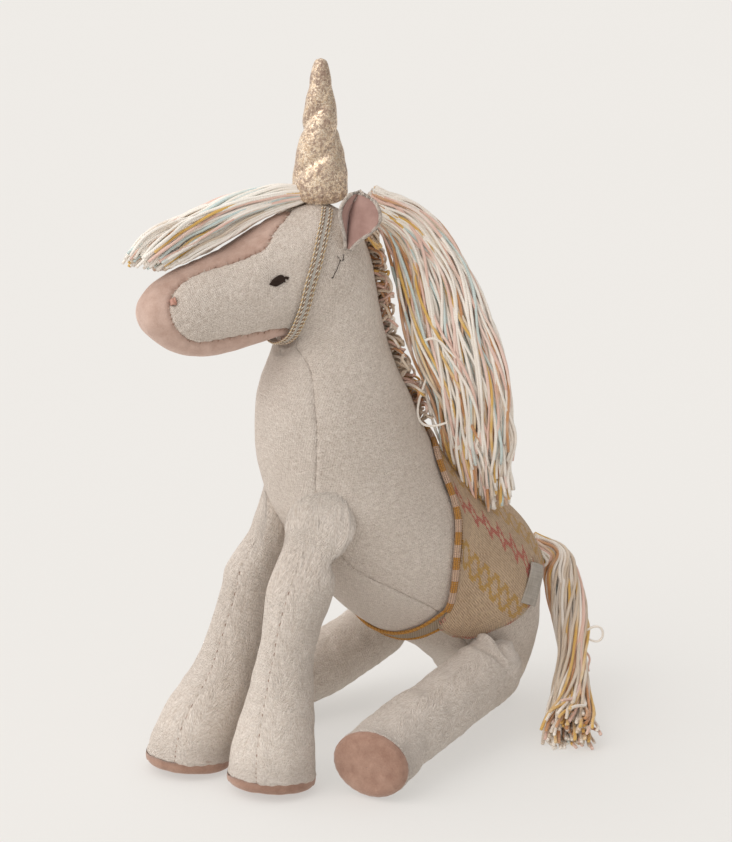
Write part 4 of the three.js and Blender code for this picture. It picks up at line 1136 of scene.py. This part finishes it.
def make_nostrils():
    """Knots of satin thread: a few rounded stitches side by side with one across."""
    for label, sign in SIDES:
        at = NOSTRIL_AT[0], sign * NOSTRIL_AT[1]
        paths = []
        k = np.linspace(0, 1, 9)
        for j in range(6):
            y = -1.25 + 0.5 * j - 0.9 * k + 0.45
            paths.append(patch_point(*at, -0.4 + 2.4 * k - 1.0, y, 0.3 + 1.5 * np.sin(math.pi * k) ** 0.8))
        paths.append(patch_point(*at, 1.1 + 0 * k, 1.7 - 3.2 * k, 0.5 + 1.1 * np.sin(math.pi * k)))
        thread_piece(f"nostril_{label}", paths, 0.55, "satin", "torso", [f"nostril_{label}"], "satin_thread")


def make_face_stitches():
    """Hand stitches that join the velour to the linen, and the dark stitches under the ears."""
    r = np.random.default_rng(7)
    paths = []
    for u, deg, depth in SEAM_LINES:
        if depth < 1:
            continue
        p = body_point(u, deg)
        arc = arc_along(p)
        for at in np.arange(3, arc[-1] - 2, 2.7):
            at += r.uniform(-0.5, 0.5)
            k = int(np.searchsorted(arc, at))
            k = min(max(k, 2), len(u) - 3)
            d = np.array([u[k + 2] - u[k - 2], deg[k + 2] - deg[k - 2]]) * FIELD_SCALE
            across = np.array([-d[1], d[0]]) / max(np.linalg.norm(d), 1e-6)
            half = r.uniform(0.7, 1.15)
            slant = r.uniform(-0.5, 0.5) * d / max(np.linalg.norm(d), 1e-6)
            t = np.linspace(-1, 1, 5)[:, None]
            line = np.array([u[k], deg[k]]) + (across * half + slant * 0.8) * t / FIELD_SCALE
            base = skin_shape(line[:, 0], line[:, 1])
            lift = np.array([-0.05, 0.2, 0.42, 0.2, -0.05])
            paths.append(base + body_normal(line[:, 0], line[:, 1]) * lift[:, None])
    thread_piece("blaze_stitches", paths, 0.21, "stitch", "torso", tone=r.uniform(0, 1, len(paths)), sides=5)

    paths = []
    for sign in (1, -1):
        for x0, y0, x1, y1 in ((-2.2, -0.6, -1.2, -1.0), (-0.6, -1.2, 0.4, -1.6), (1.0, -1.2, 1.6, 0.4),
                               (-0.2, -1.4, -0.5, -4.8), (-0.5, -4.9, -0.8, -8.2), (-0.8, -8.3, -1.0, -10.6),
                               (-1.4, -10.8, -0.6, -10.2), (0.5, 2.2, 1.0, -0.4)):
            k = np.linspace(0, 1, 6)
            paths.append(patch_point(EAR_STITCHES_AT[0], sign * EAR_STITCHES_AT[1], x0 + (x1 - x0) * k,
                                     y0 + (y1 - y0) * k, 0.05 + 0.25 * np.sin(math.pi * k)))
    thread_piece("ear_stitches", paths, 0.16, "dark", "torso", sides=5)


# ---------------------------------------------------------------- ears

def ear_frame():
    up = unit(EAR_UP)
    out = unit(EAR_OUT - (EAR_OUT @ up) * up)
    return up, out, np.cross(up, out)


def ear_place(sign, a, b, lift, inset=0.0):
    """A point of the ear sheet: a from base to tip, b across from the front edge to the back."""
    up, out, across = ear_frame()
    length = (EAR_LENGTH - 3) * a * (1 - 0.5 * inset)
    rising = 0.40 + 0.60 * np.sin(math.pi / 2 * np.clip(a / 0.56, 0, 1))
    profile = rising * np.sqrt(np.clip(1 - (np.clip(a - 0.56, 0, 1) / 0.447) ** 2.3, 0.004, 1))
    half = EAR_HALF_WIDTH * 1.14 * profile * (1 - inset)
    fold = 0.34
    width = half * (b + 0.10)
    valley = ((b + fold) ** 2 + 0.002) ** 0.36 - 0.1
    open_up = 0.35 + 0.65 * smoothstep(a, 0.0, 0.75)
    rise = 8.4 * valley * (0.80 - 0.25 * a) * profile + 0.6
    front_curl = 3.4 * np.clip(-b - 0.55, 0, 1) ** 1.2 * profile
    width = width * open_up + front_curl * 0.9
    rise = rise - 3.2 * bell(b + fold, 0.12) * profile * smoothstep(a, 0.0, 0.25)
    crumple = 0.7 * bell(a - 0.74, 0.10) * np.cos((b + fold) * 7.0) * bell(b + fold, 0.5)
    tip_roll = -1.8 * smoothstep(a, 0.8, 1.0)
    p = (EAR_BASE + length[..., None] * up + width[..., None] * across
         + (rise + lift + crumple + tip_roll)[..., None] * out)
    p = p * np.array([sign, 1, 1])
    return turn_head(p)


def make_ears():
    rows, columns = 40, 44
    for label, sign in SIDES:
        a, b = plane(np.linspace(0.02, 1, rows), np.linspace(-1, 1, columns))
        wave = 0.25 * np.sin(a * 9 + b * 3)
        back = ear_place(sign, a, b, wave - 0.9)
        faces = grid_faces(rows, columns)[:, ::-sign]
        outer = build(f"ear_{label}", back.reshape(-1, 3), faces, "linen", f"ear_{label}_flap",
                      [f"ear_{label}"], uv=sheet_uv(rows, columns, 17.6, 30))
        thicken(outer, 1.0, 0)
        lining = ear_place(sign, 0.02 + 0.955 * a, b * 0.97 + 0.045, wave + 0.15, 0.05)
        inner = build(f"ear_lining_{label}", lining.reshape(-1, 3), faces, "lining", f"ear_{label}_flap",
                      [f"ear_lining_{label}"], uv=sheet_uv(rows, columns, 17.6, 30))
        thicken(inner, 0.6, 0)
        # The linen turned over the ear's edge, with a slightly frayed lip.
        t = np.linspace(0, 1, 120)
        edge_a = np.where(t < 0.5, 0.02 + 1.96 * t, 1.98 - 1.96 * t + 0.02)
        edge_b = np.where(t < 0.5, -1.0, 1.0)
        edge_b = edge_b * (1 - smoothstep(edge_a, 0.93, 1.0))
        line = ear_place(sign, edge_a, edge_b, -0.15 + 0.2 * np.sin(t * 60))
        thread_piece(f"ear_edge_{label}", line[None], 0.95, "linen", f"ear_{label}_flap", sides=8, uv_scale=(1, 6))


# ---------------------------------------------------------------- horn and strap

def make_horn():
    """Stuffed gold cone, drawn in by a thread wound round it twice over."""
    rows, columns = 150, 120
    arc = np.concatenate([[0], np.cumsum(np.hypot(*np.diff(np.array(HORN_PROFILE, float), axis=0).T))])
    v = np.linspace(0, 1, rows)
    t = catmull(np.array(HORN_PROFILE, float), np.interp(v * arc[-1], arc, np.arange(len(arc))))
    radius, z = np.maximum(t[:, 0], 0.02), t[:, 1]
    phi = circle(columns)
    turns = np.interp(z, [0, 14, 30, 46, 64], [0.0, 0.36, 1.02, 1.78, 2.75])
    q = (2 * (phi[None] / TAU - 0.09) - turns[:, None]) % 1.0
    spacing = np.interp(z, [0, 20, 40, 64], [20, 13, 10, 8])[:, None]
    d = np.minimum(q, 1 - q) * spacing
    fade = (smoothstep(z, 6, 15) * (1 - smoothstep(z, 44, 60)))[:, None]
    size = np.clip(radius / 9, 0.35, 1.1)[:, None]
    height = (-1.15 * bell(d, 1.5) + 0.42 * np.cos(TAU * q + math.pi)) * fade * size
    seam = np.radians(118) + 0.1 * np.sin(z / 9)
    side = ((phi[None] - seam[:, None] + math.pi) % TAU - math.pi) * radius[:, None]
    height = height - 0.6 * bell(side, 0.8) * (1 - smoothstep(z, 50, 60))[:, None]
    height = height + 0.25 * np.sin(z * TAU / 3.4)[:, None] * bell(np.abs(side) - 1.4, 0.9)
    centre = turn_head(HORN_BASE[None])[0]
    ring = np.stack([np.cos(phi), np.sin(phi), 0 * phi], -1)
    base = centre + radius[:, None, None] * ring[None] + z[:, None, None] * UP
    height = height + 0.3 * ripple(base.reshape(-1, 3), 12, 51).reshape(rows, columns) * size
    gathers = 0.35 * np.sin(phi * 17)[None] * (1 - smoothstep(z, 1, 8))[:, None]
    radial = np.maximum(radius[:, None] + height + gathers, 0.02)
    lean = np.array([0.9, 0.5, 0.0]) * (z / 64)[:, None, None] ** 2 * 0.6
    points = centre + radial[..., None] * ring[None] + z[:, None, None] * UP + lean
    points = points.reshape(-1, 3)
    # The bottom edge turns under towards the poll.
    under = centre + ring * 8.0 + np.array([0, 0, -1.6])
    points = np.concatenate([under, points])
    faces = grid_faces(rows + 1, columns, True)[:, ::-1].tolist()
    faces += [ring_face(0, columns), ring_face(rows * columns, columns)[::-1]]
    cover = build("horn_cover", points, faces, "gold", "horn", ["horn_cover", "horn_stuffing"])


def laid_line(u, deg, lift=0.0):
    """Places along a line laid on the body, with the directions sideways and outward."""
    line, normal = on_body(u, deg, lift), body_normal(u, deg)
    return line, unit(np.cross(normal, unit(np.gradient(line, axis=0)))), normal


def ribbon(name, u_at, deg_at, half, lift, rows, materials, body, cords, cord_radius, tone_seed, thick=0.5):
    """A flat knitted ribbon laid on the body with twisted threads along it."""
    def bow(b):
        return lift + 0.35 * (1 - b ** 2)

    t, b = np.linspace(0, 1, rows), np.linspace(-1, 1, 7)
    centre, across, normal = laid_line(u_at(t), deg_at(t))
    points = centre[:, None] + across[:, None] * (b * half)[None, :, None] + normal[:, None] * bow(b)[None, :, None]
    length = np.linalg.norm(np.diff(centre, axis=0), axis=1).sum()
    uv = np.stack(np.meshgrid(b * half, t * length), -1).reshape(-1, 2)
    band = build(name, points.reshape(-1, 3), grid_faces(rows, len(b)), materials[0], body, [name], uv=uv)
    thicken(band, thick, 0)
    t = np.linspace(0, 1, max(rows, int(length / 0.55)))
    centre, across, normal = laid_line(u_at(t), deg_at(t))
    wind = cord_radius * 0.8
    paths = []
    for offset in cords:
        for phase in (0, math.pi):
            turn = t * length / 2.3 * TAU + phase
            paths.append(centre + across * (offset * half + wind * np.cos(turn))[:, None]
                         + normal * (bow(offset) + 0.35 + wind * np.sin(turn))[:, None])
    tone = (np.arange(len(paths)) % 2) * 0.5 + np.random.default_rng(tone_seed).uniform(0, 0.35, len(paths))
    return band, thread_piece(name + "_threads", paths, cord_radius, materials[1], body, tone=tone)


def make_strap():
    def deg_at(t):
        return 24 + 312 * t

    def u_at(t):
        d = deg_at(t)
        return read_line(STRAP_LINE, np.minimum(d, 360 - d), 8)

    band, threads = ribbon("horn_strap", u_at, deg_at, 2.35, 0.95, 260, ("ribbon", "ribbon_edge"), None,
                           (-0.98, -0.5, 0.5, 0.98), 0.3, 3)
    for obj in (band, threads):
        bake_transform(obj)


# ---------------------------------------------------------------- yarn

def bundle(path, wide, deep, hint, count, points, seed, mapping, ends, swirl, wave, flare, hollow=0.55):
    """Strands that follow a flattened bundle, as (count, points, 3), and each strand's place across it."""
    r = np.random.default_rng(seed)
    rho = np.sqrt(r.uniform(hollow ** 2, 1, count))
    inner = r.uniform(0, 1, count) < 0.25
    rho[inner] = np.sqrt(r.uniform(0, hollow ** 2, inner.sum()))
    phi = (np.arange(count) * GOLDEN_ANGLE) % TAU
    ends_at = r.uniform(*ends, count)
    starts_at = r.uniform(0, 1e-6, count)
    t = starts_at[:, None] + (ends_at - starts_at)[:, None] * np.linspace(0, 1, points)[None]
    inside = np.clip(t, 0, 1)
    centre, tangent, side, front = curve_frames(path, inside, hint, mapping)
    length = np.linalg.norm(np.diff(np.array(path, float), axis=0), axis=1).sum()
    centre = centre + tangent * ((t - inside) * length)[..., None]
    scale = len(path) - 1
    a, b = catmull(wide, inside * scale), catmull(deep, inside * scale)
    angle = phi[:, None] + swirl * (t - 0.3)
    angle = angle + 0.25 * np.sin(t * r.uniform(4, 9, (count, 1)) + r.uniform(0, 6, (count, 1)))
    spread_out = rho[:, None] * (1 + flare * r.uniform(-0.5, 1.0, (count, 1)) * smoothstep(t, 0.72, 1.05))
    k = r.uniform(3, 8, (count, 1))
    offset_side = a * spread_out * np.cos(angle) + wave * np.sin(k * t * 2.2 + r.uniform(0, 6, (count, 1)))
    offset_front = b * spread_out * np.sin(angle) + wave * 0.6 * np.cos(k * t * 2.5 + r.uniform(0, 6, (count, 1)))
    return centre + side * offset_side[..., None] + front * offset_front[..., None], np.cos(phi) * rho


def yarn_piece(name, strands, body, node, tone, radius=YARN_RADIUS, material="yarn"):
    thread_piece(name, strands, radius, material, body, [node] if node else [], "yarn_mixed", tone, ply=0.12,
                 pitch=70)


def make_mane():
    count = MANE_STRANDS
    strands, place = bundle(MANE_PATH, MANE_WIDE, MANE_DEEP, [0.75, 0.66, 0], count, 50, 101, turn_head,
                            ends=(0.82, 1.12), swirl=0.35, wave=1.5, flare=0.5)
    r = np.random.default_rng(102)
    tone = r.uniform(0, 1, count)
    # Strands on the side towards the neck are more often mustard, rust or pink: painted shade next to the neck.
    tone = np.where((place < -0.45) & (r.uniform(0, 1, count) < 0.5), r.uniform(0.68, 0.9, count), tone)
    yarn_piece("mane_tress", strands, "mane", "mane_tress", tone)
    # Two strands that have come loose on the neck side.
    t = np.linspace(0, 1, 60)[:, None]
    right = unit(LEVEL_SIDE)
    middle = turn_head(catmull(np.array(MANE_PATH, float), 3.6))
    hanging = middle - right * (15 + 6 * np.sin(math.pi * t) - 9 * t ** 3)
    hanging = hanging - UP * (4 + 26 * np.sin(math.pi * t * 0.62))
    across = middle - right * (17 - 17 * t) + UP * (11 - 9 * t ** 2 + 1.5 * np.sin(6 * t))
    across = across + unit([0.74, -0.62, 0.24]) * 8.5
    yarn_piece("mane_loose_threads", np.array([hanging, across]), "mane", None, np.array([0.1, 0.3]), radius=0.6)


def make_forelock():
    """A thick fan of yarn from in front of the horn down over the blaze."""
    count, points = FORELOCK_STRANDS, 48
    r = np.random.default_rng(111)
    t = np.linspace(0, 1, points)[None]
    high = r.uniform(0, 1, (count, 1)) ** 0.8
    spread_out = r.uniform(-1, 1, (count, 1))
    last = 21.3 + 1.3 * high ** 0.6 + r.uniform(-0.5, 0.35, (count, 1))
    u = 17.62 + (last - 17.62) * t ** 0.94
    thick = read_line([[17.5, 5.5], [18.2, 11], [19.3, 15.5], [20.8, 18.5], [22.0, 17.5], [23.0, 15]], u, 0.2)
    sway = 0.7 * np.sin(t * r.uniform(4, 11, (count, 1)) + r.uniform(0, 6, (count, 1))) * smoothstep(t, 0.1, 0.6)
    lift = 1.3 + high * thick * (1 + 0.12 * np.sin(t * 7 + spread_out * 5)) + np.abs(sway)
    deg = -11 * smoothstep(t, 0, 0.5) + spread_out * (8 + 12 * t) + 2.2 * sway
    strands = on_body(u, deg, lift)
    yarn_piece("forelock", strands, "fringe", "forelock", r.uniform(0, 1, count), radius=0.72,
               material="yarn_pale")


def make_tail():
    count = TAIL_STRANDS
    strands, _ = bundle(TAIL_PATH, TAIL_WIDE, TAIL_DEEP, [0, 0, 1], count, 72, 121, None,
                        ends=(0.92, 1.04), swirl=2.4, wave=1.2, flare=0.9, hollow=0.5)
    strands[..., 2] = np.maximum(strands[..., 2], 0.8)
    r = np.random.default_rng(122)
    yarn_piece("tail", strands, "tail_bundle", "tail", r.uniform(0, 1, count), radius=0.85, material="yarn_golden_shaded")
    # A loop of thread that has come out of the bundle, and a short loose end.
    right = unit(LEVEL_SIDE)
    t = np.linspace(0, 1, 40)[:, None]
    at = catmull(np.array(TAIL_PATH, float), 3.35) + right * 5
    loop = at + right * 11 * np.sin(math.pi * t) ** 1.2
    loop = loop + UP * (4.5 * np.sin(TAU * t) + 2 * t)
    end = at + right * (2 + 3.5 * t + 1.2 * np.sin(5 * t)) + np.array([0, 0, -1.0]) * (8 + 11 * t)
    yarn_piece("tail_loose_threads", np.array([loop, end]), "tail_bundle", None, np.array([0.2, 0.95]), radius=0.55)


def make_crest():
    """Looped yarn stitched down the back of the neck."""
    r = np.random.default_rng(131)
    paths = []
    t = np.linspace(0, 1, 26)
    for k in range(CREST_LOOPS):
        u0 = r.uniform(10.4, 15.9)
        deg0 = r.uniform(-15, 15)
        tall = r.uniform(3.5, 7.5)
        lift = 0.4 + tall * np.sin(math.pi * t) ** 0.8
        run = r.uniform(0.25, 0.7)
        u = u0 - run * t + 0.06 * np.sin(t * 9 + k)
        deg = deg0 + r.uniform(4, 16) * np.sin(math.pi * t * r.uniform(0.8, 1.6)) + 3 * np.sin(t * 7 + k)
        paths.append(on_body(np.clip(u, 9.6, 16.3), deg, lift))
    tone = r.uniform(0, 1, len(paths))
    # The crest's yarn carries a strong painted shade.
    yarn_piece("mane_crest", np.array(paths), "torso", "mane_crest", tone, radius=0.7, material="shaded_crest_yarn")


# ---------------------------------------------------------------- blanket

def blanket_place(a, b):
    """Station and degrees on the body, for a from the front edge to the rear and b from side to side."""
    a, b = np.broadcast_arrays(np.asarray(a, float), np.asarray(b, float))
    s = 2 * b - 1
    depth = np.abs(s)
    drop = BLANKET_DROP * (1 - 0.075 * np.abs(2 * a - 1) ** 4)
    front, rear = read_line(BLANKET_FRONT, depth, 0.05), read_line(BLANKET_REAR, depth, 0.05)
    inset = 0.09 * depth ** 7
    return front + (rear - front) * (inset + (1 - 2 * inset) * a), drop * s


def blanket_point(a, b, lift):
    return on_body(*blanket_place(a, b), lift)


def blanket_wave(a, b):
    s = np.abs(2 * b - 1)
    edge = np.maximum(s ** 6, 0.7 * a ** 6)
    return 0.5 * edge * np.sin(a * 7 + b * 31) + 0.25 * np.sin(a * 5 + b * 19)


def make_blanket():
    rows, columns = 72, 240
    a, b = unit_plane(rows, columns)
    top = blanket_point(a, b, 2.25 + blanket_wave(a, b))
    faces = grid_faces(rows, columns)
    arc_across = np.linalg.norm(np.diff(top, axis=1), axis=-1).mean(0)
    spine = np.concatenate([[0], np.cumsum(arc_across)])
    spine = np.abs(spine - spine[-1] / 2)[None].repeat(rows, 0)
    arc_down = np.linalg.norm(np.diff(top, axis=0), axis=-1)
    along = np.concatenate([np.zeros((1, columns)), np.cumsum(arc_down, 0)], 0)
    uv = np.stack([along, spine], -1).reshape(-1, 2)
    blanket = build("saddle_blanket", top.reshape(-1, 3), faces, "blanket", "torso", ["saddle_blanket"],
                    uv=uv)
    thicken(blanket, 1.2, 0)
    low = blanket_point(0.01 + 0.98 * a, 0.006 + 0.988 * b, 0.95 + blanket_wave(a, b))
    lining = build("blanket_lining", low.reshape(-1, 3), faces, "linen_warm", "torso", ["blanket_lining"],
                   uv=uv)
    thicken(lining, 0.6, 0)

    t = np.linspace(0, 1, PIPING_STEPS)
    side = 2 * t - 1
    u = read_line(BLANKET_FRONT, np.abs(side), 0.05) + 0.12 - 0.09 * 0.8 * np.abs(side) ** 7
    deg = BLANKET_DROP * 0.92 * side
    line, across, up = laid_line(u, deg, 2.0 + blanket_wave(0 * t, t))
    ring = circle(PIPING_SIDES)
    points = (line[:, None] + across[:, None] * (PIPING_HALF_WIDE * np.cos(ring))[None, :, None]
              + up[:, None] * (PIPING_HALF_TALL * np.sin(ring))[None, :, None])
    uv = np.stack(plane(arc_along(line), ring / 6.2832), -1).reshape(-1, 2)
    faces = grid_faces(PIPING_STEPS, PIPING_SIDES, True).tolist()
    faces += [ring_face(0, PIPING_SIDES)[::-1], ring_face((PIPING_STEPS - 1) * PIPING_SIDES, PIPING_SIDES)]
    piping = build("blanket_piping", points.reshape(-1, 3), faces, "piping", "torso", ["blanket_piping"],
                   uv=uv)

    # Overlock stitches wound round the lower and rear edges.
    pa = np.concatenate([np.linspace(0.02, 1, 60), np.ones(180), np.linspace(1, 0.02, 60)])
    pb = np.concatenate([np.ones(60), np.linspace(1, 0, 180), np.zeros(60)])
    edge = blanket_point(pa, pb, 1.9 + blanket_wave(pa, pb))
    arc = arc_along(edge)
    keep = np.concatenate([[True], np.diff(arc) > 1e-4])
    edge, arc = edge[keep], arc[keep]
    n = int(arc[-1] / OVERLOCK_PITCH * 9)
    s = np.linspace(0, arc[-1], n)
    path = np.stack([np.interp(s, arc, edge[:, k]) for k in range(3)], -1)
    tangent = unit(np.gradient(path, axis=0))
    tree_n = np.stack([np.interp(s, arc, body_normal(*blanket_place(pa, pb))[keep][:, k]) for k in range(3)], -1)
    outward = unit(np.cross(tangent, tree_n))
    turn = s / OVERLOCK_PITCH * TAU
    helix = path + outward * (0.95 * np.cos(turn))[:, None] + unit(tree_n) * (1.15 * np.sin(turn))[:, None]
    overlock = thread_piece("blanket_overlock", helix[None], OVERLOCK_RADIUS, "overlock", "torso", sides=5)


def make_girth():
    def deg_at(t):
        return 119 + 120 * t

    def u_at(t):
        return 5.95 - 0.75 * np.sin(math.pi * t)

    ribbon("girth_band", u_at, deg_at, 3.9, 1.0, 150, ("girth", "cord"), "torso", (-0.98, 0.98),
           0.62, 5, thick=0.9)


def make_label():
    """A plain folded cotton tab caught in the blanket's rear seam."""
    rows, columns = 28, 44
    a, b = unit_plane(rows, columns)
    lift = 3.7 + 0.5 * (1 - a) ** 2 + 0.3 * np.sin(b * 5 + 1)
    u = 5.58 - 0.62 * b + 0.34 * a
    deg = 51 + 23 * b + 8.5 * a
    points = on_body(u, deg, lift)
    tab = build("label_tab", points.reshape(-1, 3), grid_faces(rows, columns), "label", "torso", ["label_tab"],
                uv=sheet_uv(rows, columns, 21, 6))
    thicken(tab, 0.8, 0)


# ---------------------------------------------------------------- everything

for make in (make_stage, make_materials, make_body, make_legs, make_eyes, make_nostrils, make_face_stitches,
             make_ears, make_horn, make_strap, make_mane, make_forelock, make_tail, make_crest, make_blanket,
             make_girth, make_label):
    make()
